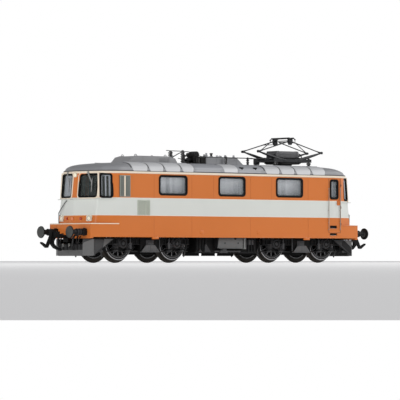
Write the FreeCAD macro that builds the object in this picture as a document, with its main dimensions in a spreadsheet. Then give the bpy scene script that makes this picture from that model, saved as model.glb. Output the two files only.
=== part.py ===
import FreeCAD, Part
import Sketcher
import math
import os
import re

# Scale model of a four-axle electric locomotive, 171 mm over buffers.
# Units: millimetres.  Origin: centre of the model, at the lowest point of the wheel flanges.
# +X along the length, +Z up, -Y is the side whose cab door is at the +X end.
# The body has half-turn symmetry about Z: what is at (x, y) is also at (-x, -y).

V = FreeCAD.Vector
doc = FreeCAD.newDocument("locomotive")
sheet = doc.addObject("Spreadsheet::Sheet", "dims")

# alias, value in mm (or degrees)
DIMS = [
    ("wheel_rad", 7.24), ("flange_rad", 8.44), ("tyre_bore", 6.15), ("axle_z", 8.44),
    ("back_half", 7.2), ("tyre_w", 2.85), ("flange_w", 0.75), ("hub_rad", 1.9), ("axle_rad", 1.2),
    ("rim_w", 0.7), ("spoke_w", 0.85), ("web_t", 1.1),
    ("bogie_x", 43.835), ("axle_off", 14.965),
    ("wall_y", 17.07), ("wall_t", 1.0), ("skirt_z", 11.08), ("ledge_z", 16.8), ("gutter_z", 39.3),
    ("beam_x", 77.15), ("beam_y", 14.25), ("beam_z", 10.57), ("beam_t", 1.3),
    ("roof_z", 43.2), ("floor_z", 17.6), ("floor_t", 2.0), ("floor_y", 15.4), ("floor_x", 68.0),
    ("cheek_y", 13.0), ("cheek_t", 1.6), ("cheek_x", 50.0), ("cheek_z", 37.6),
    ("motor_x", 20.0), ("motor_y", 8.6), ("motor_z", 35.0),
    ("pin_rad", 2.2), ("pin_bore", 2.5), ("gear_x", 21.5), ("gear_y", 6.3), ("gear_z", 3.6), ("gear_top", 15.4),
    ("side_y", 10.8), ("side_t", 1.3), ("side_x", 22.6), ("side_z", 7.9), ("side_top", 10.6),
    ("trough_x", 17.2), ("trough_y", 12.6), ("trough_z", 4.3),
    ("buffer_y", 10.06), ("buffer_z", 13.22), ("buffer_len", 8.48), ("head_rad", 2.6),
    ("hook_x", 72.0), ("hook_z", 8.9), ("hook_t", 1.3),
    ("plough_x", 77.0), ("plough_y", 8.5), ("plough_z", 3.15), ("plough_t", 0.8), ("wing_x", 74.6), ("wing_y", 12.3),
    ("panto_x", 44.2), ("shaft_x", 4.5), ("shaft_z", 46.2), ("lower_len", 15.2), ("upper_len", 19.89),
    ("lower_deg", 14.5), ("upper_deg", 15.0), ("rail_y", 6.2), ("rail_w", 0.8), ("rail_x", 11.3),
    ("rail_z", 45.4), ("rail_h", 1.4), ("arm_y", 5.15),
    ("hump_y", 6.0), ("hump_z", 46.4), ("cab_x", 56.5), ("cab_floor", 19.6),
]
D = {}
for row, (alias, value) in enumerate(DIMS, 1):
    sheet.set("A%d" % row, alias)
    sheet.set("B%d" % row, str(value))
    sheet.setAlias("B%d" % row, alias)
    D[alias] = float(value)
doc.recompute()

# ---------------------------------------------------------------- sizes as text
# A size is a number, or text such as "wall_y - 2*wall_t" that names cells of the sheet.
TERM = re.compile(r"([+-]?)\s*([A-Za-z_]\w*|\d+\.?\d*)(?:\s*\*\s*([A-Za-z_]\w*|\d+\.?\d*))?")


def terms(size):
    for sign, a, b in TERM.findall(size):
        yield (-1.0 if sign == "-" else 1.0), [x for x in (a, b) if x]


def num(size):
    if not isinstance(size, str):
        return float(size)
    total = 0.0
    for sign, factors in terms(size):
        part = sign
        for f in factors:
            part *= D[f] if f in D else float(f)
        total += part
    return total


def text(size):
    if not isinstance(size, str):
        return "%.6f" % size
    out = ""
    for sign, factors in terms(size):
        out += (" - " if sign < 0 else " + ") + " * ".join("dims." + f if f in D else f for f in factors)
    return "(0" + out + ")"


def turned(end, size):
    """The size itself at the +X end, its negative at the -X end."""
    if end > 0:
        return size
    if not isinstance(size, str):
        return -size
    return " ".join(("+" if sign < 0 else "-") + "*".join(f) for sign, f in terms(size))


def bind(obj, prop, expression):
    obj.setExpression(prop, expression)


# ---------------------------------------------------------------- ways of making solids
def box(x0, x1, y0, y1, z0, z1):
    lo, hi = [], []
    for a, b in ((x0, x1), (y0, y1), (z0, z1)):
        a, b = (a, b) if num(a) < num(b) else (b, a)
        lo.append(a)
        hi.append(b)
    o = doc.addObject("Part::Box", "box")
    for prop, a, b in zip(("Length", "Width", "Height"), lo, hi):
        bind(o, prop, text(b) + " - " + text(a))
    for axis, a in zip("xyz", lo):
        bind(o, "Placement.Base." + axis, text(a))
    return o


TURN = {"z": FreeCAD.Rotation(), "y": FreeCAD.Rotation(V(1, 0, 0), -90), "x": FreeCAD.Rotation(V(0, 1, 0), 90)}


def rod(axis, rad, a0, a1, x=0, y=0, z=0):
    """Cylinder along an axis from a0 to a1; x, y, z give its centre line."""
    a0, a1 = (a0, a1) if num(a0) < num(a1) else (a1, a0)
    o = doc.addObject("Part::Cylinder", "rod")
    bind(o, "Radius", text(rad))
    bind(o, "Height", text(a1) + " - " + text(a0))
    o.Placement = FreeCAD.Placement(V(0, 0, 0), TURN[axis])
    at = {"x": x, "y": y, "z": z}
    at[axis] = a0
    for k in "xyz":
        bind(o, "Placement.Base." + k, text(at[k]))
    return o


def origin_plane(body, role):
    return [f for f in body.Origin.OriginFeatures if f.Role == role][0]


def outline(body, role, points):
    """Closed sketch of straight lines on one of the body's origin planes."""
    sk = body.newObject("Sketcher::SketchObject", "outline")
    sk.AttachmentSupport = (origin_plane(body, role), [""])
    sk.MapMode = "FlatFace"
    n = len(points)
    xy = [(num(a), num(b)) for a, b in points]
    sk.addGeometry([Part.LineSegment(V(xy[i][0], xy[i][1], 0), V(xy[(i + 1) % n][0], xy[(i + 1) % n][1], 0))
                    for i in range(n)], False)
    sk.addConstraint([Sketcher.Constraint("Coincident", i, 2, (i + 1) % n, 1) for i in range(n)])
    for i, (a, b) in enumerate(points):
        for kind, size, value in (("DistanceX", a, xy[i][0]), ("DistanceY", b, xy[i][1])):
            k = sk.addConstraint(Sketcher.Constraint(kind, -1, 1, i, 1, value))
            if isinstance(size, str):
                name = "p%d%s" % (i, kind[-1].lower())
                sk.renameConstraint(k, name)
                bind(sk, "Constraints." + name, text(size))
    return sk


def prism(role, points, a0, a1):
    """Pad of an outline: XY_Plane along Z, XZ_Plane along Y, YZ_Plane along X."""
    body = doc.addObject("PartDesign::Body", "Body")
    sk = outline(body, role, points)
    pad = body.newObject("PartDesign::Pad", "pad")
    pad.Profile = sk
    pad.Midplane = True
    bind(pad, "Length", "abs(%s - %s)" % (text(a1), text(a0)))
    axis = {"XY_Plane": "z", "XZ_Plane": "y", "YZ_Plane": "x"}[role]
    bind(body, "Placement.Base." + axis, "(%s + %s) / 2" % (text(a0), text(a1)))
    return body


def turning(points, axis="z", x=0, y=0, z=0, flip=False):
    """Solid of revolution; points are (radius, height along the axis)."""
    body = doc.addObject("PartDesign::Body", "Body")
    sk = outline(body, "XZ_Plane", points)
    rev = body.newObject("PartDesign::Revolution", "revolution")
    rev.Profile = sk
    rev.ReferenceAxis = (sk, ["V_Axis"])
    rev.Angle = 360
    rot = TURN[axis]
    if flip:
        rot = FreeCAD.Rotation(V(0, 0, 1) if axis != "z" else V(1, 0, 0), 180).multiply(rot)
    body.Placement = FreeCAD.Placement(V(0, 0, 0), rot)
    for k, v in (("x", x), ("y", y), ("z", z)):
        bind(body, "Placement.Base." + k, text(v))
    return body


def fuse(shapes):
    if len(shapes) == 1:
        return shapes[0]
    o = doc.addObject("Part::MultiFuse", "fuse")
    o.Shapes = shapes
    return o


def group(shapes):
    o = doc.addObject("Part::Compound", "group")
    o.Links = shapes
    return o


def cut(base, tools):
    o = doc.addObject("Part::Cut", "cut")
    o.Base = base
    o.Tool = fuse(tools)
    return o


def common(a, b):
    o = doc.addObject("Part::MultiCommon", "common")
    o.Shapes = [a, b]
    return o


def rounded(solid, rad, direction):
    """Fillet of a box's four edges along one of its own directions."""
    doc.recompute()
    o = doc.addObject("Part::Fillet", "rounded")
    o.Base = solid
    edges = []
    for i, e in enumerate(solid.Shape.Edges, 1):
        d = e.Vertexes[1].Point.sub(e.Vertexes[0].Point)
        if d.Length and abs(d.normalize().dot(direction)) > 0.999:
            edges.append((i, rad, rad))
    o.Edges = edges
    return o


def feature(shape):
    o = doc.addObject("Part::Feature", "feature")
    o.Shape = shape
    return o


NODES = {}


def node(name, obj, material):
    obj.Label = name
    NODES[name] = obj


# ---------------------------------------------------------------- plan sections of the hull
# columns: height, half width, x of the wall's end, x and y of the cab corner, x of the front ridge
WALLS = [
    (16.8, 17.07, 64.1, 73.70, 13.20, 76.25),
    (39.3, 17.07, 64.1, 70.90, 12.93, 74.25),
]
ROOF = [
    (39.30, 17.07, 64.1, 70.90, 12.93, 74.25),
    (41.00, 16.70, 63.8, 69.80, 12.40, 72.80),
    (42.00, 15.80, 63.0, 67.60, 11.70, 70.20),
    (42.55, 14.85, 61.8, 65.00, 10.90, 67.20),
    (43.00, 13.40, 59.5, 61.20, 9.90, 63.00),
    (43.20, 11.50, 55.5, 57.00, 8.50, 58.50),
]
CORNER_RAD, BEND_RAD, RIDGE_RAD = 1.8, 9.0, 7.0


def plan_wire(z, half, x_wall, x_corner, y_corner, x_ridge, inset=0.0):
    """Closed plan line of the body with rounded corners, at one height."""
    half, y_corner = half - inset, y_corner - 0.9 * inset
    x_wall, x_corner, x_ridge = x_wall - 0.25 * inset, x_corner - inset, x_ridge - inset
    quarter = [(x_wall, half, BEND_RAD), (x_corner, y_corner, CORNER_RAD)]
    pts = quarter[:1] + quarter[1:] + [(x_ridge, 0, RIDGE_RAD)]
    pts += [(x_corner, -y_corner, CORNER_RAD), (x_wall, -half, BEND_RAD)]
    pts += [(-x, -y, r) for x, y, r in pts]
    edges, ends = [], []
    n = len(pts)
    for i, (x, y, r) in enumerate(pts):
        p = V(x, y, z)
        a = V(pts[i - 1][0], pts[i - 1][1], z) - p
        b = V(pts[(i + 1) % n][0], pts[(i + 1) % n][1], z) - p
        room = 0.42 * min(a.Length, b.Length)
        a.normalize()
        b.normalize()
        turn = math.acos(max(-1.0, min(1.0, a.dot(b))))
        t = min(r / math.tan(turn / 2), room)
        r = t * math.tan(turn / 2)
        mid = (a + b).normalize() * (r / math.sin(turn / 2) - r)
        ends.append((p + a * t, p + mid, p + b * t))
    for i in range(n):
        edges.append(Part.Arc(*ends[i]).toShape())
        edges.append(Part.LineSegment(ends[i][2], ends[(i + 1) % n][0]).toShape())
    return Part.Wire(edges)


def hull(rows, inset=0.0, low=None, high=None):
    wires = [plan_wire(*row, inset=inset) for row in rows]
    if low is not None:
        wires[0].translate(V(0, 0, low))
    if high is not None:
        wires[-1].translate(V(0, 0, high))
    solid = Part.makeLoft(wires[:2], True, True)
    for i in range(1, len(wires) - 1):
        solid = solid.fuse(Part.makeLoft(wires[i:i + 2], True, True))
    return feature(solid)


def skirt(z0, z1, inset):
    """Prism of the lower body: wide ends that reach to the buffer beams."""
    x0, y0 = "64.1 - 0.25*wall_t" if inset else 64.1, "wall_y - wall_t" if inset else "wall_y"
    x1, y1 = ("beam_x - beam_t", "beam_y - wall_t") if inset else ("beam_x", "beam_y")
    pts = [(x0, y0), (x1, y1), (x1, turned(-1, y1)), (x0, turned(-1, y0))]
    pts += [(turned(-1, a), turned(-1, b)) for a, b in pts]
    return prism("XY_Plane", pts, z0, z1)


# ---------------------------------------------------------------- places on the walls
def wall_plane(p0, p1, p2):
    """Placement whose X runs from p0 to p1, Z up the wall towards p2, and -Y points out of the wall."""
    u = (p1 - p0).normalize()
    inward = (p2 - p0).cross(u).normalize()
    up = u.cross(inward)
    m = FreeCAD.Matrix(u.x, inward.x, up.x, p0.x, u.y, inward.y, up.y, p0.y, u.z, inward.z, up.z, p0.z, 0, 0, 0, 1)
    return FreeCAD.Placement(m)


def wall_at(z):
    """Plan numbers of the walls at a height, between the two sections."""
    k = (z - WALLS[0][0]) / (WALLS[1][0] - WALLS[0][0])
    return [a + (b - a) * k for a, b in zip(WALLS[0], WALLS[1])]


Z_LOW, Z_HIGH = 27.8, 38.2
lo, hi = wall_at(Z_LOW), wall_at(Z_HIGH)
SIDE = FreeCAD.Placement(V(0, -D["wall_y"], 0), FreeCAD.Rotation())
# local X of these two runs from the cab corner along the wall; local Z starts at Z_LOW
TAPER = wall_plane(V(-lo[3], -lo[4], Z_LOW), V(-lo[2], -lo[1], Z_LOW), V(-hi[3], -hi[4], Z_HIGH))
FRONT = wall_plane(V(-lo[5], 0, Z_LOW), V(-lo[3], -lo[4], Z_LOW), V(-hi[3], -hi[4], Z_HIGH))
FRONT_FAR = wall_plane(V(-lo[3], lo[4], Z_LOW), V(-lo[5], 0, Z_LOW), V(-hi[5], 0, Z_HIGH))
FRONT_LEN = math.hypot(lo[5] - lo[3], lo[4])
TAPER_FAR = wall_plane(V(-lo[2], lo[1], Z_LOW), V(-lo[3], lo[4], Z_LOW), V(-hi[3], hi[4], Z_HIGH))
TAPER_LEN = math.hypot(lo[3] - lo[2], lo[4] - lo[1])
HALF_TURN = FreeCAD.Placement(V(0, 0, 0), FreeCAD.Rotation(V(0, 0, 1), 180))

# columns: name, wall, x0, x1, z0, z1, corner radius, frame width
WINDOWS = [
    ("side", SIDE, -42.06, -26.18, 29.25, 37.85, 1.5, 0.8),
    ("side", SIDE, -8.37, 7.15, 29.25, 37.85, 1.5, 0.8),
    ("side", SIDE, 25.23, 41.23, 29.25, 37.85, 1.5, 0.8),
    ("side", SIDE, 57.60, 62.75, 28.7, 37.6, 1.2, 0.9),
    ("cab", TAPER, 0.9, 6.4, 0.1, 10.5, 1.3, 0.6),
    ("cab", TAPER_FAR, TAPER_LEN - 4.6, TAPER_LEN - 0.75, 0.5, 10.6, 1.1, 0.5),
    ("cab", FRONT, 2.6, 12.6, 0.35, 10.35, 1.2, 0.5),
    ("cab", FRONT_FAR, FRONT_LEN - 12.6, FRONT_LEN - 2.6, 0.35, 10.35, 1.2, 0.5),
]


def panel(place, x0, x1, y0, y1, z0, z1, rad):
    """Rounded flat block in a wall's own directions; y is the depth into the wall."""
    b = box(x0, x1, y0, y1, z0, z1)
    for axis in ("x", "y", "z"):
        b.setExpression("Placement.Base." + axis, None)
    b.Placement = FreeCAD.Placement(V(min(x0, x1), min(y0, y1), min(z0, z1)), FreeCAD.Rotation())
    f = rounded(b, rad, V(0, 1, 0))
    f.Placement = place
    return f


def both_ends(place):
    return (place, HALF_TURN.multiply(place))


openings, frames, panes, screens, surrounds = [], [], [], {-1: [], 1: []}, []
for name, wall, x0, x1, z0, z1, rad, w in WINDOWS:
    for end, place in zip((-1, 1), both_ends(wall)):
        openings.append(panel(place, x0, x1, -1.0, 2.6, z0, z1, rad))
        ring = cut(panel(place, x0, x1, -0.15, 0.85, z0, z1, rad),
                   [panel(place, x0 + w, x1 - w, -0.5, 1.2, z0 + w, z1 - w, rad - 0.5)])
        frames.append(ring)
        pane = panel(place, x0 + w, x1 - w, 0.2, 0.7, z0 + w, z1 - w, rad - 0.5)
        (panes if name == "side" else screens[end]).append(pane)

# ---------------------------------------------------------------- lamps, each set in a pocket of the front wall
lo2, hi2 = wall_at(17.0), wall_at(20.6)
LOW_NEAR = wall_plane(V(-lo2[5], 0, 17.0), V(-lo2[3], -lo2[4], 17.0), V(-hi2[3], -hi2[4], 20.6))
LOW_FAR = wall_plane(V(-lo2[3], lo2[4], 17.0), V(-lo2[5], 0, 17.0), V(-hi2[5], 0, 20.6))
LOW_LEN = math.hypot(lo2[5] - lo2[3], lo2[4])
pockets = []


def wall_rod(rad, a0, a1, place):
    """Short cylinder along the wall's own inward direction."""
    c = rod("y", rad, a0, a1)
    for axis in ("x", "y", "z"):
        c.setExpression("Placement.Base." + axis, None)
    c.Placement = place
    return c


for end, tag in ((-1, "left"), (1, "right")):
    turn = HALF_TURN if end > 0 else FreeCAD.Placement()
    lamps, tails = [], []
    for side, place in ((1, LOW_NEAR), (-1, LOW_FAR)):
        u = [8.2, 11.2] if side > 0 else [LOW_LEN - 11.2, LOW_LEN - 8.2]
        lamps.append(panel(turn.multiply(place), u[0], u[1], -0.45, 0.35, 0.95, 3.05, 0.3))
        pockets.append(panel(turn.multiply(place), u[0] - 0.02, u[1] + 0.02, -0.8, 0.37, 0.93, 3.07, 0.3))
        v = 4.9 if side > 0 else LOW_LEN - 4.9
        for rad, a0, a1, kept in ((0.55, -0.45, 0.3, tails), (0.58, -0.8, 0.32, pockets)):
            kept.append(wall_rod(rad, a0, a1, turn.multiply(place).multiply(
                FreeCAD.Placement(V(v, a0, 2.1), TURN["y"]))))
    top = wall_at(37.7)[5]
    lamps.append(rod("x", 0.95, end * (top - 0.35), end * (top + 0.35), z=37.7))
    pockets.append(rod("x", 0.98, end * (top - 0.37), end * (top + 1.0), z=37.7))
    node("headlamps_" + tag, group(lamps), "lamp")
    node("tail_lamps_" + tag, group(tails), "red_lens")

# ---------------------------------------------------------------- body
outer = fuse([hull(WALLS), skirt("skirt_z", "ledge_z", False),
              box("beam_x - beam_t", "beam_x", "0 - beam_y", "beam_y", "beam_z", "ledge_z"),
              box("0 - beam_x", "0 - beam_x + beam_t", "0 - beam_y", "beam_y", "beam_z", "ledge_z")])
inner = [hull(WALLS, inset=D["wall_t"], low=-1.0, high=1.0), skirt("skirt_z - 2", "ledge_z - wall_t", True)]
# door steps: two recesses under each cab door; columns: x0, x1, z0, z1
STEPS = [(57.57, 61.98, 15.47, 16.8), (57.57, 61.98, 12.3, 13.4)]
recesses = []
for end in (-1, 1):
    for x0, x1, z0, z1 in STEPS:
        recesses.append(box(end * x0, end * x1, turned(-end, "wall_y - 0.6"), turned(-end, "wall_y + 1"), z0, z1))
node("body_shell", cut(outer, inner + openings + recesses + pockets), "livery")
node("window_frames", group(frames), "black_rubber")
node("side_window_panes", group(panes), "glass")
node("cab_windows_left", group(screens[-1]), "glass")
node("cab_windows_right", group(screens[1]), "glass")

roof_in = [tuple(r) for r in ROOF[:-1]]
roof_outer = hull(ROOF)
roof_inner = hull(roof_in, inset=D["wall_t"], low=-1.0, high=-0.65)
node("roof_shell", cut(roof_outer, [roof_inner]), "roof")

# ---------------------------------------------------------------- inside: chassis, motor and cabs
floor = [box("0 - floor_x", "floor_x", "0 - floor_y + 1.5", "floor_y - 1.5", "floor_z", "floor_z + floor_t"),
         box("0 - floor_x - 4.5", "floor_x + 4.5", "0 - 9", 9, "floor_z", "floor_z + floor_t")]
for s in (-1, 1):
    floor.append(box("0 - cheek_x", "cheek_x", turned(s, "cheek_y"), turned(s, "cheek_y + cheek_t"),
                     "floor_z", "cheek_z"))
    # hanging post of the coupler's pivot
    floor.append(box(turned(s, "hook_x - 1.6"), turned(s, "hook_x + 1.6"), -2.2, 2.2, "hook_z + hook_t + 0.3", "floor_z"))
    floor.append(rod("z", 0.8, "hook_z - 0.3", "hook_z + hook_t + 0.4", x=turned(s, "hook_x")))
holes = [rod("z", "pin_bore", "floor_z - 1", "floor_z + floor_t + 1", x=turned(s, "bogie_x")) for s in (-1, 1)]
node("chassis_frame", cut(fuse(floor), holes), "dark_metal")
node("motor_block", box("0 - motor_x", "motor_x", "0 - motor_y", "motor_y", "floor_z + floor_t", "motor_z"), "dark_metal")

for end, tag in ((-1, "left"), (1, "right")):
    desk = [box(turned(end, "cab_x"), turned(end, "cab_x + 0.8"), -12.6, 12.6, "cab_floor", "gutter_z - 1.4"),
            box(turned(end, "cab_x"), turned(end, "cab_x + 13.6"), -11.2, 11.2, "cab_floor", "cab_floor + 0.9"),
            box(turned(end, "cab_x + 10.6"), turned(end, "cab_x + 13.6"), -10.6, 10.6, "cab_floor", "cab_floor + 7.6"),
            box(turned(end, "cab_x + 3.4"), turned(end, "cab_x + 6.2"), end * 4.0, end * 7.2, "cab_floor", "cab_floor + 4.6"),
            box(turned(end, "cab_x + 3.4"), turned(end, "cab_x + 4.1"), end * 4.0, end * 7.2, "cab_floor", "cab_floor + 9.4")]
    node("cab_interior_" + tag, fuse(desk), "interior")

# ---------------------------------------------------------------- underfloor
trough = prism("YZ_Plane", [("0 - trough_y + 1.4", "trough_z"), ("trough_y - 1.4", "trough_z"),
                            ("trough_y", "trough_z + 1.2"), ("trough_y", "floor_z"),
                            ("0 - trough_y", "floor_z"), ("0 - trough_y", "trough_z + 1.2")],
               "0 - trough_x", "trough_x")
# thin keel of three blocks along the middle
keel = [box(a, b, -0.55, 0.55, 3.05, "trough_z + 0.4") for a, b in ((-14.4, -5.65), (-3.55, 3.55), (5.65, 14.4))]
node("underfloor_trough", fuse([trough] + keel), "black_plastic")
boxes = []
for s in (-1, 1):
    boxes.append(box(s * 7.0, s * -7.7, turned(s, "trough_y"), turned(s, "trough_y + 2.2"), 6.4, 11.0))
    boxes.append(rod("z", 0.5, 6.1, 11.0, x=-s * 9.1, y=turned(s, "trough_y + 1.4")))
    boxes.append(box(-s * 8.8, -s * 9.4, turned(s, "trough_y"), turned(s, "trough_y + 1.4"), 9.6, 10.4))
boxes = [group([boxes[0], fuse(boxes[1:3]), boxes[3], fuse(boxes[4:6])])]
node("underfloor_boxes", boxes[0], "grey_plastic")

# ---------------------------------------------------------------- buffers and lamps
# columns: radius, distance out from the beam
BUFFER = [(0, 0), (1.7, 0), (1.7, 0.5), (1.35, 0.7), (1.35, 4.6), (1.1, 4.6), (1.1, "buffer_len - 1.0"),
          ("head_rad - 0.3", "buffer_len - 0.8"), ("head_rad", "buffer_len - 0.5"), ("head_rad", "buffer_len - 0.3"),
          ("0.5*head_rad", "buffer_len - 0.05"), (0, "buffer_len")]
for end, tag in ((-1, "left"), (1, "right")):
    pair = []
    for s in (-1, 1):
        stem = turning(BUFFER, "x", x=turned(end, "beam_x"), y=turned(s, "buffer_y"), z="buffer_z", flip=end < 0)
        block = box(turned(end, "beam_x"), turned(end, "beam_x + 2.1"), turned(s, "buffer_y - 1.6"), turned(s, "buffer_y + 1.6"),
                    "buffer_z - 1.4", "buffer_z + 1.4")
        pair.append(fuse([stem, block]))
    node("buffers_" + tag, group(pair), "black_plastic")

# ---------------------------------------------------------------- roof equipment
hump = prism("XZ_Plane", [(-50.7, "roof_z"), (-22.2, "roof_z"), (-23.8, "hump_z - 0.9"), (-26.8, "hump_z"),
                          (-45.5, "hump_z"), (-48.2, "hump_z - 0.7")], "0 - hump_y", "hump_y")
node("roof_hump", hump, "roof")
cover = prism("XZ_Plane", [(-6.4, "roof_z"), (15.6, "roof_z"), (11.4, 46.6), (-6.4, 46.9)], -6.4, 6.4)
node("roof_box", cover, "roof_box")
# ribbed insulator: table of radius and height, closed on its axis
def insulator(x, y, z, height, rad):
    n = max(2, int(height / 0.9))
    step = height / n
    pts = [(0, 0)]
    for i in range(n):
        pts += [(rad * 0.62, i * step), (rad, (i + 0.25) * step), (rad, (i + 0.5) * step), (rad * 0.62, (i + 0.85) * step)]
    pts += [(rad * 0.62, height), (0, height)]
    return turning(pts, "z", x=x, y=y, z=z)


# columns: x, y, foot height, height, radius
POSTS = [(-17.9, -3.9, "roof_z", 6.0, 0.95), (-18.4, 3.9, "roof_z", 5.9, 1.1),
         (3.6, -8.0, "roof_z", 3.15, 0.7), (18.8, -5.2, "roof_z", 3.15, 0.7)]
node("roof_insulators", group([insulator(*p) for p in POSTS]), "insulator")
switch = [box(-12.6, -7.6, -2.6, 3.2, "roof_z", "roof_z + 0.5"),
          rod("z", 0.95, "roof_z", 47.6, x=-9.8, y=1.2),
          rod("z", 0.7, "roof_z", 47.6, x=-9.6, y=-2.4),
          rod("y", 1.25, -3.9, 0.8, x=-9.6, z=47.75),
          rod("y", 0.75, 0.7, 2.6, x=-9.6, z=47.75),
          box(-12.4, -9.6, 2.0, 3.0, 45.0, 45.8),
          box(-12.4, -11.6, 1.9, 3.1, "roof_z", 46.4)]
node("main_switch", fuse(switch), "black_plastic")
node("roof_busbar", fuse([rod("x", 0.22, 3.2, 19.2, y=-8.0, z=46.57),
                          box(18.6, 19.0, -8.1, -5.0, 46.35, 46.79),
                          rod("x", 0.22, 18.6, 31.5, y=-5.2, z=46.57)]), "black_metal")

# ---------------------------------------------------------------- pantograph
px = "panto_x"
rails = []
for s in (-1, 1):
    rails.append(box("panto_x - rail_x", "panto_x + rail_x", turned(s, "rail_y"), turned(s, "rail_y + rail_w"),
                     "rail_z", "rail_z + rail_h"))
for k in (-1, 1):
    rails.append(box("panto_x + rail_x" if k > 0 else "panto_x - rail_x",
                     "panto_x + rail_x - 1" if k > 0 else "panto_x - rail_x + 1",
                     "0 - rail_y", "rail_y", "rail_z", "rail_z + 0.8"))
    rails.append(box("panto_x + 6.9" if k > 0 else "panto_x - 6.9", "panto_x + 5.9" if k > 0 else "panto_x - 5.9",
                     "0 - rail_y", "rail_y", "rail_z", "rail_z + 0.5"))
base = cut(fuse(rails), [rod("y", 0.52, turned(s, "rail_y - 0.5"), turned(s, "rail_y + 2"),
                             x="panto_x + shaft_x" if k > 0 else "panto_x - shaft_x", z="shaft_z")
                         for k in (-1, 1) for s in (-1, 1)])
node("pantograph_base", base, "black_metal")
feet = [insulator(44.2 + kx * 9.9, s * 6.6, "roof_z", 2.2, 0.95) for kx in (-1, 1) for s in (-1, 1)]
node("pantograph_insulators", group(feet), "insulator")
drive = [box("panto_x - 6.6", "panto_x + 6.6", -3.4, 3.4, 47.3, 50.4)]
for k in (-1, 1):
    drive.append(box("panto_x + 6.6" if k > 0 else "panto_x - 6.6", "panto_x + 6.0" if k > 0 else "panto_x - 6.0",
                     -2.6, 2.6, "rail_z + 0.5", 47.4))
node("pantograph_drive", fuse(drive), "dark_metal")


def strut(p0, p1, rad):
    """Straight tube between two points."""
    a, b = V(*p0), V(*p1)
    d = b - a
    o = doc.addObject("Part::Cylinder", "strut")
    o.Radius = rad
    o.Height = d.Length
    o.Placement = FreeCAD.Placement(a, FreeCAD.Rotation(V(0, 0, 1), d))
    return o


ALPHA, BETA = math.radians(D["lower_deg"]), math.radians(D["upper_deg"])
PX, SX, SZ, L1, L2 = D["panto_x"], D["shaft_x"], D["shaft_z"], D["lower_len"], D["upper_len"]
ELBOW_X, ELBOW_Z = SX + L1 * math.cos(ALPHA), SZ + L1 * math.sin(ALPHA)
APEX_Z = ELBOW_Z + L2 * math.sin(BETA)
AY = D["arm_y"]
# columns: tag, side of the centre, y of the upper arm's tubes, how far they stop before the apex
ARMS = [("a", -1, 5.75, 0.0), ("b", 1, 4.5, 1.7)]
for tag, k, uy, gap in ARMS:
    sx, ex = PX + k * SX, PX + k * ELBOW_X
    low = [rod("y", 0.42, "0 - rail_y - 0.7", "rail_y + 0.7", x="panto_x + shaft_x" if k > 0 else "panto_x - shaft_x",
               z="shaft_z")]
    for s in (-1, 1):
        low.append(strut((sx, s * AY, SZ), (ex, s * AY, ELBOW_Z), 0.36))
        low.append(rod("y", 0.6, s * (AY - 0.22), s * (AY + 0.22), x=ex, z=ELBOW_Z))
        y0, y1 = (s * (AY + 0.1), s * (uy + 0.28)) if uy > AY else (s * (AY - 0.1), s * (uy - 0.28))
        low.append(rod("y", 0.22, y0, y1, x=ex, z=ELBOW_Z))
    node("pantograph_lower_arm_" + tag, fuse(low), "black_metal")
    ux = (PX - ex) / abs(PX - ex)
    tip_x = PX - ux * gap * math.cos(BETA)
    tip_z = APEX_Z - gap * math.sin(BETA)
    up, bores = [], []
    for s in (-1, 1):
        up.append(strut((ex, s * uy, ELBOW_Z), (tip_x, s * uy, tip_z), 0.24))
        up.append(rod("y", 0.52, s * (uy - 0.24), s * (uy + 0.24), x=ex, z=ELBOW_Z))
        bores.append(rod("y", 0.3, s * (uy - 0.5), s * (uy + 0.5), x=ex, z=ELBOW_Z))
    up.append(strut((tip_x, -uy, tip_z), (tip_x, uy, tip_z), 0.19))
    if uy > AY:
        for s in (-1, 1):
            up.append(rod("y", 0.3, s * 4.5, s * uy, x=tip_x, z=tip_z))
    low, high = 0.05, 0.13
    up.append(strut((ex + (tip_x - ex) * low, k * uy, ELBOW_Z + (tip_z - ELBOW_Z) * low),
                    (tip_x + (ex - tip_x) * high, -k * uy, tip_z + (ELBOW_Z - tip_z) * high), 0.21))
    node("pantograph_upper_arm_" + tag, cut(fuse(up), bores), "black_metal")

head, head_bores = [], []
for s in (-1, 1):
    head.append(box(PX - 0.8, PX + 0.8, s * 4.82, s * 5.42, APEX_Z - 1.3, APEX_Z + 0.9))
    head.append(box(PX - 1.6, PX + 1.6, s * 4.82, s * 5.42, APEX_Z + 0.75, APEX_Z + 1.1))
    head_bores.append(rod("y", 0.38, s * 4.4, s * 5.9, x=PX, z=APEX_Z))
for k in (-1, 1):
    head.append(box(PX + k * 1.0, PX + k * 1.6, -6.0, 6.0, APEX_Z + 1.0, APEX_Z + 1.45))
    for s in (-1, 1):
        horn = strut((PX + k * 1.3, s * 5.9, APEX_Z + 1.2), (PX + k * 1.3, s * 7.3, APEX_Z + 0.3), 0.22)
        head.append(horn)
node("pantograph_head", cut(fuse(head), head_bores), "black_metal")

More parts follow.
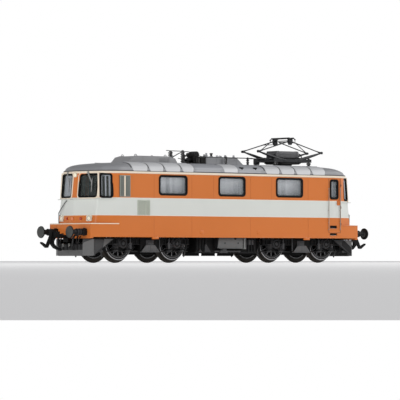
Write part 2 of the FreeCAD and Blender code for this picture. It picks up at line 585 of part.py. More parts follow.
# ---------------------------------------------------------------- bogies
# columns of a bogie's side: x from the pivot, z of axle box and spring pots
SPRINGS = [-18.4, -11.6, 11.6, 18.4]
for end, tag in ((-1, "left"), (1, "right")):
    bx = turned(end, "bogie_x")

    def at(offset):
        """x of a place on this bogie; positive offsets point to the nearer end of the model."""
        return bx + " " + turned(end, "0 + %.3f" % offset) if offset >= 0 else bx + " " + turned(end, "0 - %.3f" % -offset)

    frame = [box(at(-21.5), at(21.5), "0 - gear_y", "gear_y", "gear_z", "gear_top"),
             box(at(-6.0), at(6.0), "0 - gear_y", "gear_y", "gear_top - 0.1", "floor_z - 0.35"),
             rod("z", "pin_rad", "floor_z - 0.4", "floor_z + floor_t + 0.6", x=bx),
             box(at(-4.6), at(4.6), "0 - side_y", "side_y", 5.4, 9.8),
             box(at(23.9), at(25.3), "0 - side_y", "side_y", 6.0, 8.3),
             box(at(21.3), at(24.1), -5.0, 5.0, 6.0, 8.3)]
    axle_holes = [rod("y", "axle_rad + 0.1", "0 - gear_y - 1", "gear_y + 1", x=at(s * D["axle_off"]), z="axle_z")
                  for s in (-1, 1)]
    node("bogie_frame_" + tag, cut(fuse(frame), axle_holes), "black_plastic")

    sides = []
    for s in (-1, 1):
        y0, y1 = turned(s, "side_y"), turned(s, "side_y + side_t")
        parts = [box(at(-22.6), at(25.3), y0, y1, "side_z", "side_top"),
                 box(at(-5.0), at(5.0), y0, turned(s, "side_y + side_t + 0.5"), 5.2, 10.2)]
        for kx in (-1, 1):
            xa = kx * D["axle_off"]
            parts.append(box(at(xa - 2.5), at(xa + 2.5), y0, turned(s, "side_y + side_t + 0.4"), 6.2, 10.4))
            parts.append(rod("y", 1.9, y0, turned(s, "side_y + side_t + 1.2"), x=at(xa), z="axle_z"))
        for xs in SPRINGS:
            parts.append(rod("z", 1.05, 6.0, "side_z + 0.4", x=at(xs), y=turned(s, "side_y + 1.05")))
            parts.append(box(at(xs - 1.3), at(xs + 1.3), y0, turned(s, "side_y + 2.1"), 5.4, 6.1))
        parts.append(box(at(-19.6), at(-10.4), y0, turned(s, "side_y + 0.7"), 5.4, 6.1))
        parts.append(box(at(10.4), at(19.6), y0, turned(s, "side_y + 0.7"), 5.4, 6.1))
        # low trapezoid bracket under the middle of the side
        shift = num(bx)
        parts.append(prism("XZ_Plane", [(shift - 4.6, 5.0), (shift + 4.6, 5.0), (shift + 2.2, 7.6), (shift - 2.2, 7.6)],
                           turned(s, "side_y + 0.3"), turned(s, "side_y + side_t + 1.1")))
        sides.append(fuse(parts))
    node("bogie_sides_" + tag, group(sides), "black_plastic")

    # snow plough: bent front blade, side plates with a slanted rear edge, floor that joins them to the bogie
    e = end
    parts = [box(turned(e, "plough_x - plough_t"), turned(e, "plough_x"), "0 - plough_y", "plough_y", "plough_z", 8.0),
             box(e * 69.3, e * 76.6, -8.5, 8.5, 4.6, 5.6),
             box(e * 69.3, e * 74.2, -12.5, 12.5, 4.6, 5.6),
             box(e * 69.14, e * 70.4, -11.4, 11.4, 4.6, 8.3)]
    for s in (-1, 1):
        parts.append(prism("XZ_Plane", [(e * 63.7, 10.3), (e * D["wing_x"], 10.3), (e * D["wing_x"], 3.15), (e * 73.5, 3.9)],
                           s * 12.3, s * 13.0))
        parts.append(prism("XY_Plane", [(e * 77.0, s * 8.4), (e * 76.1, s * 8.4), (e * 73.8, s * 12.5), (e * 73.8, s * 13.0),
                                        (e * 74.6, s * 13.0)], 3.15, 10.3))
    node("snow_plough_" + tag, fuse(parts), "dark_plastic")

# ---------------------------------------------------------------- wheelsets
def half_set(side, x):
    """Tyre and spoked centre of one wheel; side is -1 or 1 along Y."""
    # columns: radius, distance out from the wheel's back face
    tyre = turning([("tyre_bore", 0), ("flange_rad - 0.35", 0), ("flange_rad", 0.3), ("flange_rad - 0.1", 0.5),
                    ("wheel_rad + 0.12", "flange_w + 0.15"), ("wheel_rad", "tyre_w - 0.2"),
                    ("wheel_rad - 0.2", "tyre_w"), ("tyre_bore", "tyre_w")],
                   "y", x=x, y=turned(side, "back_half"), z="axle_z", flip=side < 0)
    return tyre


def spoked(side, x):
    body = doc.addObject("PartDesign::Body", "Body")
    sk = outline(body, "XZ_Plane", [(0, -0.02), ("hub_rad", -0.02), ("hub_rad", "tyre_w - 0.1"),
                                    ("0.6*hub_rad", "tyre_w + 0.15"), (0, "tyre_w + 0.15")])
    hub = body.newObject("PartDesign::Revolution", "hub")
    hub.Profile = sk
    hub.ReferenceAxis = (sk, ["V_Axis"])
    hub.Angle = 360
    sk2 = outline(body, "XZ_Plane", [("tyre_bore - rim_w", 0.3), ("tyre_bore", 0.3), ("tyre_bore", "tyre_w - 0.3"),
                                     ("tyre_bore - rim_w", "tyre_w - 0.3")])
    sk3 = outline(body, "XY_Plane", [("hub_rad - 0.3", "0 - 0.5*spoke_w"), ("tyre_bore - 0.3", "0 - 0.5*spoke_w + 0.15"),
                                     ("tyre_bore - 0.3", "0.5*spoke_w - 0.15"), ("hub_rad - 0.3", "0.5*spoke_w")])
    sk3.AttachmentOffset = FreeCAD.Placement(V(0, 0, D["tyre_w"] - 0.6 - D["web_t"]), FreeCAD.Rotation())
    spoke = body.newObject("PartDesign::Pad", "spoke")
    spoke.Profile = sk3
    bind(spoke, "Length", text("web_t"))
    pattern = body.newObject("PartDesign::PolarPattern", "spokes")
    pattern.Originals = [spoke]
    pattern.Axis = (origin_axis(body, "Z_Axis"), [""])
    pattern.Angle = 360
    pattern.Occurrences = 12
    body.Tip = pattern
    rim = body.newObject("PartDesign::Revolution", "rim")
    rim.Profile = sk2
    rim.ReferenceAxis = (sk2, ["V_Axis"])
    rim.Angle = 360
    body.Tip = rim
    rot = TURN["y"]
    if side < 0:
        rot = FreeCAD.Rotation(V(0, 0, 1), 180).multiply(rot)
    body.Placement = FreeCAD.Placement(V(0, 0, 0), rot)
    for k, v in (("x", x), ("y", turned(side, "back_half")), ("z", "axle_z")):
        bind(body, "Placement.Base." + k, text(v))
    return body


def origin_axis(body, role):
    return [f for f in body.Origin.OriginFeatures if f.Role == role][0]


# columns: number, end of the model, place on the bogie
AXLES = [("1", -1, 1), ("2", -1, -1), ("3", 1, -1), ("4", 1, 1)]
for number, end, side in AXLES:
    x = turned(end, "bogie_x + axle_off" if side > 0 else "bogie_x - axle_off")
    node("wheelset_%s_tyres" % number, group([half_set(-1, x), half_set(1, x)]), "tyre_steel")
    axle = rod("y", "axle_rad", "0 - back_half - 0.5", "back_half + 0.5", x=x, z="axle_z")
    node("wheelset_%s_centres" % number, fuse([spoked(-1, x), spoked(1, x), axle]), "wheel_black")

# ---------------------------------------------------------------- couplers
# outlines in the XZ plane at the +X end; columns: x, z
BAIL = [(87.9, 12.4), (88.2, 14.3), (89.3, 14.3), (89.3, 12.4), (91.9, 7.5), (94.9, 8.9), (95.1, 8.35), (92.2, 6.4),
        (91.3, 6.5), (88.5, 11.6), (87.9, 11.6)]
HOOK = [(87.0, 11.2), (88.7, 11.2), (89.6, 9.7), (89.3, 8.1), (87.4, 6.3), (83.7, 5.1), (83.4, 5.9), (86.5, 7.0),
        (87.9, 8.3), (87.9, 9.3), (87.0, 10.4)]
# lower shank from the pivot, riser in front of the beam, upper shank and head
SHANK = [("hook_x - 2.2", "hook_z"), (80.6, "hook_z"), (80.6, 10.75), (87.6, 10.75), (87.6, 12.0), (79.2, 12.0),
         (79.2, "hook_z + hook_t"), ("hook_x - 2.2", "hook_z + hook_t")]
SWUNG = {-1: 6.5, 1: 0.0}
for end, tag in ((-1, "left"), (1, "right")):
    e = end
    shank = prism("XZ_Plane", [(turned(e, a), b) for a, b in SHANK], -1.5, 1.5)
    headblock = box(e * 85.8, e * 88.6, -2.0, 2.0, 10.75, 13.4)
    bail = prism("XZ_Plane", [(turned(e, a), b) for a, b in BAIL], -0.65, 0.65)
    hook = prism("XZ_Plane", [(turned(e, a), b) for a, b in HOOK], -0.75, 0.75)
    body = cut(fuse([shank, headblock, bail, hook]),
               [rod("z", 1.05, "hook_z - 1", "hook_z + hook_t + 1", x=turned(e, "hook_x"))])
    # the left coupler rests swung a little towards the near side
    turn = FreeCAD.Rotation(V(0, 0, 1), SWUNG[end])
    pivot = V(e * D["hook_x"], 0, 0)
    body.Placement = FreeCAD.Placement(pivot - turn.multVec(pivot), turn)
    node("coupler_" + tag, body, "black_plastic")

# ---------------------------------------------------------------- check and write
doc.recompute()
bad = [o.Name for o in doc.Objects if "Invalid" in o.State or "Error" in o.State]
if bad:
    raise SystemExit("failed objects: %s" % bad)
for name, obj in NODES.items():
    s = obj.Shape
    if s.isNull() or not s.isValid() or not s.Solids:
        raise SystemExit("bad shape: " + name)
os.makedirs("parts", exist_ok=True)
for name, obj in NODES.items():
    obj.Shape.exportStep("parts/%s.step" % name)
    b = obj.Shape.BoundBox
    print("%-26s solids %2d vol %9.2f  x %7.2f %7.2f  y %6.2f %6.2f  z %6.2f %6.2f" % (
        name, len(obj.Shape.Solids), obj.Shape.Volume, b.XMin, b.XMax, b.YMin, b.YMax, b.ZMin, b.ZMax))
print(len(NODES), "nodes")
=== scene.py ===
import math

import bpy
import bmesh
from mathutils import Matrix, Vector


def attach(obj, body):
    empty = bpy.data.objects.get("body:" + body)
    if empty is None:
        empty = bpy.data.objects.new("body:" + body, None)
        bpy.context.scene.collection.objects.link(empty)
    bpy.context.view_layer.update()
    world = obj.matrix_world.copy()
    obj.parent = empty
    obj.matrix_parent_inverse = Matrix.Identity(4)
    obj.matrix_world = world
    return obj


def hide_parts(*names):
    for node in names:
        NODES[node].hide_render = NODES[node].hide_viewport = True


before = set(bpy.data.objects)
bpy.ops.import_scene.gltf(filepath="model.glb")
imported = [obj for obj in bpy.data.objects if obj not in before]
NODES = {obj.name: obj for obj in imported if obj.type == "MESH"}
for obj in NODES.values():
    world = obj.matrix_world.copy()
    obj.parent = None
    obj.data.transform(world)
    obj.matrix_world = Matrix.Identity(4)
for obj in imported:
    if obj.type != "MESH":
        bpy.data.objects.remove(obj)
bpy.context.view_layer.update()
MM = 0.001
scene = bpy.context.scene
scene.view_settings.view_transform = "Standard"
scene.view_settings.look = "None"

# ------------------------------------------------------------------ camera, floor and light
cam_data = bpy.data.cameras.new("camera")
cam = bpy.data.objects.new("camera", cam_data)
scene.collection.objects.link(cam)
cam.location = (-0.90630, -1.07264, 0.00094)
view = Vector((0.64334, 0.76534, 0.01920))
cam.rotation_euler = view.to_track_quat("-Z", "Y").to_euler()
cam_data.lens = 284.76
cam_data.sensor_width = 36.0
cam_data.clip_start = 0.05
cam_data.clip_end = 60.0
scene.camera = cam


def new_material(name):
    m = bpy.data.materials.new(name)
    m.use_nodes = True
    nt = m.node_tree
    nt.nodes.clear()
    out = nt.nodes.new("ShaderNodeOutputMaterial")
    bsdf = nt.nodes.new("ShaderNodeBsdfPrincipled")
    nt.links.new(bsdf.outputs[0], out.inputs[0])
    return m, nt, bsdf


def lin(c):
    """Colour from 0..255 screen values to linear light."""
    out = []
    for v in c:
        v = v / 255.0
        out.append(v / 12.92 if v <= 0.04045 else ((v + 0.055) / 1.055) ** 2.4)
    return (out[0], out[1], out[2], 1.0)


def floor_and_light():
    m, nt, b = new_material("floor_paper")
    b.inputs["Roughness"].default_value = 0.9
    tc = nt.nodes.new("ShaderNodeTexCoord")
    nz = nt.nodes.new("ShaderNodeTexNoise")
    nz.inputs["Scale"].default_value = 3.0
    ramp = nt.nodes.new("ShaderNodeMix")
    ramp.data_type = "RGBA"
    ramp.inputs["A"].default_value = (0.93, 0.93, 0.93, 1)
    ramp.inputs["B"].default_value = (0.95, 0.95, 0.95, 1)
    nt.links.new(tc.outputs["Object"], nz.inputs["Vector"])
    nt.links.new(nz.outputs["Fac"], ramp.inputs["Factor"])
    nt.links.new(ramp.outputs["Result"], b.inputs["Base Color"])
    b.inputs["Emission Color"].default_value = (1, 1, 1, 1)
    b.inputs["Emission Strength"].default_value = 0.22
    me = bpy.data.meshes.new("floor")
    s = 4.0
    me.from_pydata([(-s, -s, 0), (s, -s, 0), (s, s, 0), (-s, s, 0)], [], [(0, 1, 2, 3)])
    me.materials.append(m)
    floor = bpy.data.objects.new("floor", me)
    scene.collection.objects.link(floor)

    world = bpy.data.worlds.new("studio")
    scene.world = world
    world.use_nodes = True
    nt = world.node_tree
    nt.nodes.clear()
    out = nt.nodes.new("ShaderNodeOutputWorld")
    lp = nt.nodes.new("ShaderNodeLightPath")
    tc = nt.nodes.new("ShaderNodeTexCoord")
    sep = nt.nodes.new("ShaderNodeSeparateXYZ")
    nt.links.new(tc.outputs["Generated"], sep.inputs[0])
    ramp = nt.nodes.new("ShaderNodeValToRGB")
    ramp.color_ramp.interpolation = "EASE"
    ramp.color_ramp.elements[0].position = 0.0
    ramp.color_ramp.elements[0].color = (0.74, 0.74, 0.74, 1)
    ramp.color_ramp.elements[1].position = 1.0
    ramp.color_ramp.elements[1].color = (0.17, 0.17, 0.18, 1)
    mid = ramp.color_ramp.elements.new(0.45)
    mid.color = (0.42, 0.42, 0.43, 1)
    nt.links.new(sep.outputs["Z"], ramp.inputs["Fac"])
    light = nt.nodes.new("ShaderNodeBackground")
    nt.links.new(ramp.outputs["Color"], light.inputs["Color"])
    light.inputs["Strength"].default_value = 0.85
    white = nt.nodes.new("ShaderNodeBackground")
    white.inputs["Color"].default_value = (1, 1, 1, 1)
    white.inputs["Strength"].default_value = 1.0
    mix = nt.nodes.new("ShaderNodeMixShader")
    nt.links.new(lp.outputs["Is Camera Ray"], mix.inputs["Fac"])
    nt.links.new(light.outputs[0], mix.inputs[1])
    nt.links.new(white.outputs[0], mix.inputs[2])
    nt.links.new(mix.outputs[0], out.inputs[0])

    def area(name, at, target, size, size_y, power):
        d = bpy.data.lights.new(name, "AREA")
        d.shape = "RECTANGLE"
        d.size = size
        d.size_y = size_y
        d.energy = power
        o = bpy.data.objects.new(name, d)
        scene.collection.objects.link(o)
        o.location = at
        o.rotation_euler = (Vector(target) - Vector(at)).to_track_quat("-Z", "Y").to_euler()

    area("key", (0.62, -0.88, 0.66), (0, 0, 0.03), 0.7, 0.5, 6.15)
    area("front_fill", (-0.95, -0.2, 0.08), (-0.05, 0, 0.02), 0.5, 0.16, 3.6)
    area("right_top", (1.0, -0.2, 0.62), (0.05, 0, 0.04), 0.4, 0.4, 3.0)


floor_and_light()


# ------------------------------------------------------------------ materials
def grain(nt, scale, detail=3.0, rough=0.55):
    tc = nt.nodes.new("ShaderNodeTexCoord")
    nz = nt.nodes.new("ShaderNodeTexNoise")
    nz.inputs["Scale"].default_value = scale
    nz.inputs["Detail"].default_value = detail
    nz.inputs["Roughness"].default_value = rough
    nt.links.new(tc.outputs["Object"], nz.inputs["Vector"])
    return tc, nz


def finish_nodes(nt, bsdf, color_socket, vary, bump_scale, bump_mm, patch_scale=60.0, rough=0.4, rough_vary=0.08):
    """Colour variation in soft patches, fine surface grain as bump, and roughness that varies a little."""
    tc, patches = grain(nt, patch_scale)
    amount = nt.nodes.new("ShaderNodeMapRange")
    amount.inputs["From Min"].default_value = 0.3
    amount.inputs["From Max"].default_value = 0.7
    amount.inputs["To Min"].default_value = 1.0 - vary
    amount.inputs["To Max"].default_value = 1.0 + vary
    nt.links.new(patches.outputs["Fac"], amount.inputs["Value"])
    mul = nt.nodes.new("ShaderNodeVectorMath")
    mul.operation = "SCALE"
    nt.links.new(color_socket, mul.inputs[0])
    nt.links.new(amount.outputs[0], mul.inputs["Scale"])
    nt.links.new(mul.outputs[0], bsdf.inputs["Base Color"])
    rr = nt.nodes.new("ShaderNodeMapRange")
    rr.inputs["From Min"].default_value = 0.3
    rr.inputs["From Max"].default_value = 0.7
    rr.inputs["To Min"].default_value = rough - rough_vary
    rr.inputs["To Max"].default_value = rough + rough_vary
    nt.links.new(patches.outputs["Fac"], rr.inputs["Value"])
    nt.links.new(rr.outputs[0], bsdf.inputs["Roughness"])
    _, fine = grain(nt, bump_scale, 4.0, 0.6)
    bump = nt.nodes.new("ShaderNodeBump")
    bump.inputs["Strength"].default_value = 0.6
    bump.inputs["Distance"].default_value = bump_mm * MM
    nt.links.new(fine.outputs["Fac"], bump.inputs["Height"])
    nt.links.new(bump.outputs[0], bsdf.inputs["Normal"])
    return tc


def plain(name, rgb, rough=0.45, metal=0.0, vary=0.06, bump_scale=5200.0, bump_mm=0.02, rough_vary=0.08, spec=0.5, coat=0.0):
    m, nt, b = new_material(name)
    base = nt.nodes.new("ShaderNodeRGB")
    base.outputs[0].default_value = lin(rgb)
    finish_nodes(nt, b, base.outputs[0], vary, bump_scale, bump_mm, rough=rough, rough_vary=rough_vary)
    b.inputs["Metallic"].default_value = metal
    b.inputs["Specular IOR Level"].default_value = spec
    b.inputs["Coat Weight"].default_value = coat
    b.inputs["Coat Roughness"].default_value = 0.25
    return m


# heights of the paint lines on the body, in mm above the flanges
BAND_LOW, BAND_HIGH, WALL_TOP = 20.43, 27.85, 38.75
ORANGE, LIGHT, CREAM = (203, 113, 48), (209, 212, 207), (232, 218, 198)


def livery_material():
    m, nt, b = new_material("livery_paint")
    tc = nt.nodes.new("ShaderNodeTexCoord")
    sep = nt.nodes.new("ShaderNodeSeparateXYZ")
    nt.links.new(tc.outputs["Object"], sep.inputs[0])

    def above(z):
        n = nt.nodes.new("ShaderNodeMapRange")
        n.inputs["From Min"].default_value = (z - 0.03) * MM
        n.inputs["From Max"].default_value = (z + 0.03) * MM
        nt.links.new(sep.outputs["Z"], n.inputs["Value"])
        return n.outputs[0]

    def mixed(fac, a, bcol):
        n = nt.nodes.new("ShaderNodeMix")
        n.data_type = "RGBA"
        nt.links.new(fac, n.inputs["Factor"])
        if isinstance(a, tuple):
            n.inputs["A"].default_value = a
        else:
            nt.links.new(a, n.inputs["A"])
        n.inputs["B"].default_value = bcol
        return n.outputs["Result"]

    c = mixed(above(BAND_LOW), lin(ORANGE), lin(LIGHT))
    c = mixed(above(BAND_HIGH), c, lin(ORANGE))
    c = mixed(above(WALL_TOP), c, lin(CREAM))
    finish_nodes(nt, b, c, 0.025, 4200.0, 0.012, patch_scale=35.0, rough=0.36, rough_vary=0.05)
    b.inputs["Specular IOR Level"].default_value = 0.3
    b.inputs["Coat Weight"].default_value = 0.06
    b.inputs["Coat Roughness"].default_value = 0.2
    return m


MAT = {
    "livery": livery_material(),
    "orange": plain("orange_paint", ORANGE, 0.38, vary=0.03, bump_mm=0.012, spec=0.3),
    "light": plain("light_paint", LIGHT, 0.38, vary=0.03, bump_mm=0.012, spec=0.3),
    "cream": plain("cream_paint", CREAM, 0.4, vary=0.03, bump_mm=0.012, spec=0.3),
    "rubber": plain("black_rubber", (9, 8, 8), 0.6, vary=0.15, spec=0.12),
    "roof": plain("roof_paint", (143, 144, 147), 0.45, vary=0.05, bump_mm=0.02, spec=0.3),
    "roof_light": plain("roof_panel_paint", (196, 197, 199), 0.42, vary=0.03, spec=0.3),
    "hump": plain("roof_cover_paint", (151, 151, 153), 0.5, vary=0.05, spec=0.3),
    "box": plain("roof_box_paint", (150, 151, 154), 0.5, vary=0.05, spec=0.3),
    "metal": plain("dark_cast_metal", (58, 58, 61), 0.5, metal=0.3, vary=0.1, bump_mm=0.03),
    "cab": plain("cab_moulding", (74, 76, 70), 0.6, vary=0.1),
    "black": plain("black_moulding", (10, 10, 10), 0.6, vary=0.15, bump_scale=3600, bump_mm=0.03, spec=0.16),
    "dark": plain("dark_moulding", (23, 23, 24), 0.55, vary=0.15, bump_scale=3600, bump_mm=0.03, spec=0.2),
    "grey": plain("grey_moulding", (84, 84, 85), 0.5, vary=0.08, bump_mm=0.03, spec=0.3),
    "midgrey": plain("mid_grey_moulding", (82, 82, 84), 0.5, vary=0.1, bump_mm=0.03),
    "insulator": plain("insulator_glaze", (36, 34, 35), 0.25, vary=0.08, bump_mm=0.005, coat=0.4),
    "wire": plain("blackened_wire", (36, 37, 40), 0.38, metal=0.35, vary=0.1, bump_mm=0.01),
    "steel": plain("turned_steel", (196, 196, 200), 0.26, metal=0.95, vary=0.05, bump_mm=0.006),
    "chrome": plain("bright_wire", (205, 205, 205), 0.3, metal=0.6, vary=0.04, bump_mm=0.006),
    "wheel": plain("wheel_centre_paint", (14, 14, 15), 0.5, metal=0.0, vary=0.1, bump_mm=0.02),
    "lamp": plain("lamp_lens", (246, 240, 214), 0.18, vary=0.02, bump_mm=0.004, coat=0.6),
    "red": plain("red_lens", (178, 58, 34), 0.2, vary=0.03, bump_mm=0.004, coat=0.6),
    "brown": plain("wiring_brown", (96, 62, 44), 0.5, vary=0.08),
}


def glass_material(name, tint, alpha, rough=0.06):
    m, nt, b = new_material(name)
    base = nt.nodes.new("ShaderNodeRGB")
    base.outputs[0].default_value = lin(tint)
    finish_nodes(nt, b, base.outputs[0], 0.03, 900.0, 0.01, rough=rough, rough_vary=0.03)
    b.inputs["Alpha"].default_value = alpha
    b.inputs["Specular IOR Level"].default_value = 0.6
    b.inputs["Coat Weight"].default_value = 0.5
    b.inputs["Coat Roughness"].default_value = 0.05
    return m


MAT["pane"] = glass_material("side_pane_glass", (176, 184, 190), 0.22)
MAT["screen"] = glass_material("windscreen_glass", (84, 92, 90), 0.2)


MAT["seam"] = plain("panel_gap", (74, 75, 78), 0.6, vary=0.08)
MAT["roof_pale"] = plain("roof_pale_paint", (196, 197, 199), 0.4, vary=0.03)
MAT["roof_mid"] = plain("roof_mid_paint", (150, 152, 157), 0.42, vary=0.04)
MAT["soot"] = plain("sooty_moulding", (44, 43, 42), 0.55, vary=0.2, bump_scale=3000, bump_mm=0.03)
MAT["light_line"] = plain("pale_line_paint", (226, 222, 208), 0.4, vary=0.03)
MAT["gap_line"] = plain("dark_joint", (96, 62, 44), 0.6, vary=0.08)
MAT["grille"] = plain("grille_paint", (136, 142, 133), 0.5, vary=0.08)
MAT["grille_pale"] = plain("pale_grille_paint", (188, 193, 181), 0.5, vary=0.06)
MAT["grille_low"] = plain("low_grille_paint", (158, 163, 152), 0.5, vary=0.06)
MAT["pale_metal"] = plain("satin_metal", (168, 168, 166), 0.35, metal=0.5, vary=0.06, bump_mm=0.006)
MAT["lining"] = plain("pleated_lining", (120, 126, 134), 0.6, vary=0.12)

MAT["socket"] = plain("pale_orange_paint", (224, 138, 92), 0.4, vary=0.04, spec=0.3)


def lining_painted_reflection_material():
    """Pleated lining behind the side glass, with a painted reflection of the glass: streaks along the height, light at
    the top left, dark at the lower right.
    """
    m, nt, b = new_material("pleated_lining")
    tc = nt.nodes.new("ShaderNodeTexCoord")
    sep = nt.nodes.new("ShaderNodeSeparateXYZ")
    nt.links.new(tc.outputs["Object"], sep.inputs[0])

    def math_node(op, a, bval):
        n = nt.nodes.new("ShaderNodeMath")
        n.operation = op
        for i, v in enumerate((a, bval)):
            if isinstance(v, (int, float)):
                n.inputs[i].default_value = v
            else:
                nt.links.new(v, n.inputs[i])
        return n.outputs[0]

    along = math_node("MULTIPLY", math_node("FRACT", math_node("DIVIDE", math_node("ADD", sep.outputs["X"], 43.0 * MM), 33.65 * MM), 0.0), 2.0)
    up = math_node("DIVIDE", math_node("SUBTRACT", sep.outputs["Z"], 29.0 * MM), 9.0 * MM)
    squeeze = nt.nodes.new("ShaderNodeVectorMath")
    squeeze.operation = "MULTIPLY"
    squeeze.inputs[1].default_value = (1.0, 1.0, 0.04)
    nt.links.new(tc.outputs["Object"], squeeze.inputs[0])
    streak = nt.nodes.new("ShaderNodeTexNoise")
    streak.inputs["Scale"].default_value = 420.0
    streak.inputs["Detail"].default_value = 2.0
    nt.links.new(squeeze.outputs[0], streak.inputs["Vector"])
    # painted reflection: lighter towards the top and the left of each window, with streaks
    f = math_node("SUBTRACT", math_node("ADD", math_node("MULTIPLY", up, 0.85), 0.36), math_node("MULTIPLY", along, 0.42))
    f = math_node("ADD", f, math_node("MULTIPLY", math_node("SUBTRACT", streak.outputs["Fac"], 0.5), 1.1))
    mix = nt.nodes.new("ShaderNodeMix")
    mix.data_type = "RGBA"
    nt.links.new(f, mix.inputs["Factor"])
    mix.inputs["A"].default_value = lin((58, 62, 60))
    mix.inputs["B"].default_value = lin((252, 252, 255))
    finish_nodes(nt, b, mix.outputs["Result"], 0.04, 4200.0, 0.01, rough=0.6)
    return m


MAT["lining"] = lining_painted_reflection_material()


def tyre_material(name, centre_x):
    """Blackened tyre: a bright ring on its faces, partly the turned metal edge and partly a painted highlight, and a
    dark tread and flange.
    """
    m, nt, b = new_material(name)
    tc = nt.nodes.new("ShaderNodeTexCoord")
    sub = nt.nodes.new("ShaderNodeVectorMath")
    sub.operation = "SUBTRACT"
    sub.inputs[1].default_value = (centre_x * MM, 0.0, 8.44 * MM)
    nt.links.new(tc.outputs["Object"], sub.inputs[0])
    flat = nt.nodes.new("ShaderNodeVectorMath")
    flat.operation = "MULTIPLY"
    flat.inputs[1].default_value = (1.0, 0.0, 1.0)
    nt.links.new(sub.outputs[0], flat.inputs[0])
    length = nt.nodes.new("ShaderNodeVectorMath")
    length.operation = "LENGTH"
    nt.links.new(flat.outputs[0], length.inputs[0])
    ramp = nt.nodes.new("ShaderNodeValToRGB")
    scale = nt.nodes.new("ShaderNodeMath")
    scale.operation = "DIVIDE"
    scale.inputs[1].default_value = 10.0 * MM
    nt.links.new(length.outputs["Value"], scale.inputs[0])
    nt.links.new(scale.outputs[0], ramp.inputs["Fac"])
    cr = ramp.color_ramp
    cr.interpolation = "LINEAR"
    cr.elements[0].position = 0.0
    cr.elements[0].color = lin((66, 66, 68))
    cr.elements[1].position = 0.845
    cr.elements[1].color = lin((60, 53, 46))
    # bright ring on the face: partly the turned metal edge, partly a painted highlight
    for pos, col in ((0.615, (30, 30, 32)), (0.632, (24, 24, 26)), (0.690, (24, 24, 26)), (0.694, (176, 176, 178)),
                     (0.716, (186, 186, 188)), (0.722, (38, 34, 30))):
        e = cr.elements.new(pos)
        e.color = lin(col)
    # the bright ring is on the outer faces only: the tread is dark
    sep = nt.nodes.new("ShaderNodeSeparateXYZ")
    nt.links.new(tc.outputs["Object"], sep.inputs[0])
    ab = nt.nodes.new("ShaderNodeMath")
    ab.operation = "ABSOLUTE"
    nt.links.new(sep.outputs["Y"], ab.inputs[0])
    out = nt.nodes.new("ShaderNodeMath")
    out.operation = "GREATER_THAN"
    out.inputs[1].default_value = 9.86 * MM
    nt.links.new(ab.outputs[0], out.inputs[0])
    mix = nt.nodes.new("ShaderNodeMix")
    mix.data_type = "RGBA"
    nt.links.new(out.outputs[0], mix.inputs["Factor"])
    mix.inputs["A"].default_value = lin((40, 36, 31))
    nt.links.new(ramp.outputs["Color"], mix.inputs["B"])
    finish_nodes(nt, b, mix.outputs["Result"], 0.06, 5200.0, 0.006, rough=0.34, rough_vary=0.08)
    b.inputs["Metallic"].default_value = 0.55
    return m


for number, x in (("1", -58.8), ("2", -28.87), ("3", 28.87), ("4", 58.8)):
    MAT["tyre_" + number] = tyre_material("turned_tyre_" + number, x)
# pale ridges along the spokes: painted highlight
MAT["spoke_highlight"] = plain("spoke_highlight_paint", (124, 124, 126), 0.4, metal=0.2, vary=0.08)
MAT["hose"] = plain("brake_hose_rubber", (30, 30, 31), 0.5, vary=0.15, bump_scale=3000, bump_mm=0.02, spec=0.3)
MAT["plough"] = plain("plough_moulding", (44, 44, 45), 0.5, vary=0.12, bump_scale=3600, bump_mm=0.03, spec=0.3)
MAT["bogie_light"] = plain("bogie_detail_moulding", (62, 62, 64), 0.5, vary=0.15, bump_scale=3600, bump_mm=0.03, spec=0.35)
MAT["bogie_mid"] = plain("bogie_relief_moulding", (40, 40, 42), 0.5, vary=0.15, bump_scale=3600, bump_mm=0.03, spec=0.35)
MAT["drive"] = plain("drive_cover_paint", (84, 84, 86), 0.42, vary=0.16, metal=0.2, bump_mm=0.02)
MAT["joint_orange"] = plain("paint_joint", (178, 97, 44), 0.5, vary=0.05, spec=0.3)
MAT["bogie_pale"] = plain("bogie_bracket_moulding", (80, 80, 81), 0.5, vary=0.12, bump_scale=3600, bump_mm=0.03, spec=0.35)
MAT["plough_pale"] = plain("plough_plate_moulding", (90, 90, 90), 0.5, vary=0.16, bump_scale=3600, bump_mm=0.03, spec=0.35)
# the plough's side plate in its lit tone; its painted shaded copy uses the dark moulding
MAT["plough_lit_panel"] = plain("plough_panel_lit_tone", (56, 56, 57), 0.5, vary=0.15, bump_scale=3600, bump_mm=0.03, spec=0.3)
# lit tone of the underfloor case, painted on its lids
MAT["case_lit_grey"] = plain("underfloor_case_lit_tone", (96, 97, 97), 0.5, vary=0.1, bump_mm=0.03, spec=0.3)
MAT["pipe_grey"] = plain("pipe_paint", (128, 130, 129), 0.45, vary=0.08, bump_mm=0.02, spec=0.4)
MAT["buffer_face"] = plain("buffer_head_moulding", (62, 64, 62), 0.38, metal=0.2, vary=0.2, bump_scale=3600, bump_mm=0.02, spec=0.5)
MAT["rail_grey"] = plain("handrail_paint", (150, 140, 130), 0.4, metal=0.2, vary=0.05, bump_mm=0.006)
# pale and grey sheets inside the cab glass: painted reflection of the glass; the pale one also colours the posts
MAT["pale_reflection_and_posts"] = plain("pale_reflection_and_post_paint", (226, 232, 242), 0.6, vary=0.08, bump_mm=0.02)
MAT["reflection_sheet_mid"] = plain("grey_reflection_sheet", (206, 211, 220), 0.6, vary=0.12, bump_mm=0.02)
MAT["hose_head"] = plain("hose_coupling_metal", (112, 112, 110), 0.4, metal=0.4, vary=0.1, bump_mm=0.01)
MAT["tyre_ring"] = plain("turned_tyre_edge", (132, 132, 134), 0.34, metal=0.5, vary=0.08, bump_mm=0.006)
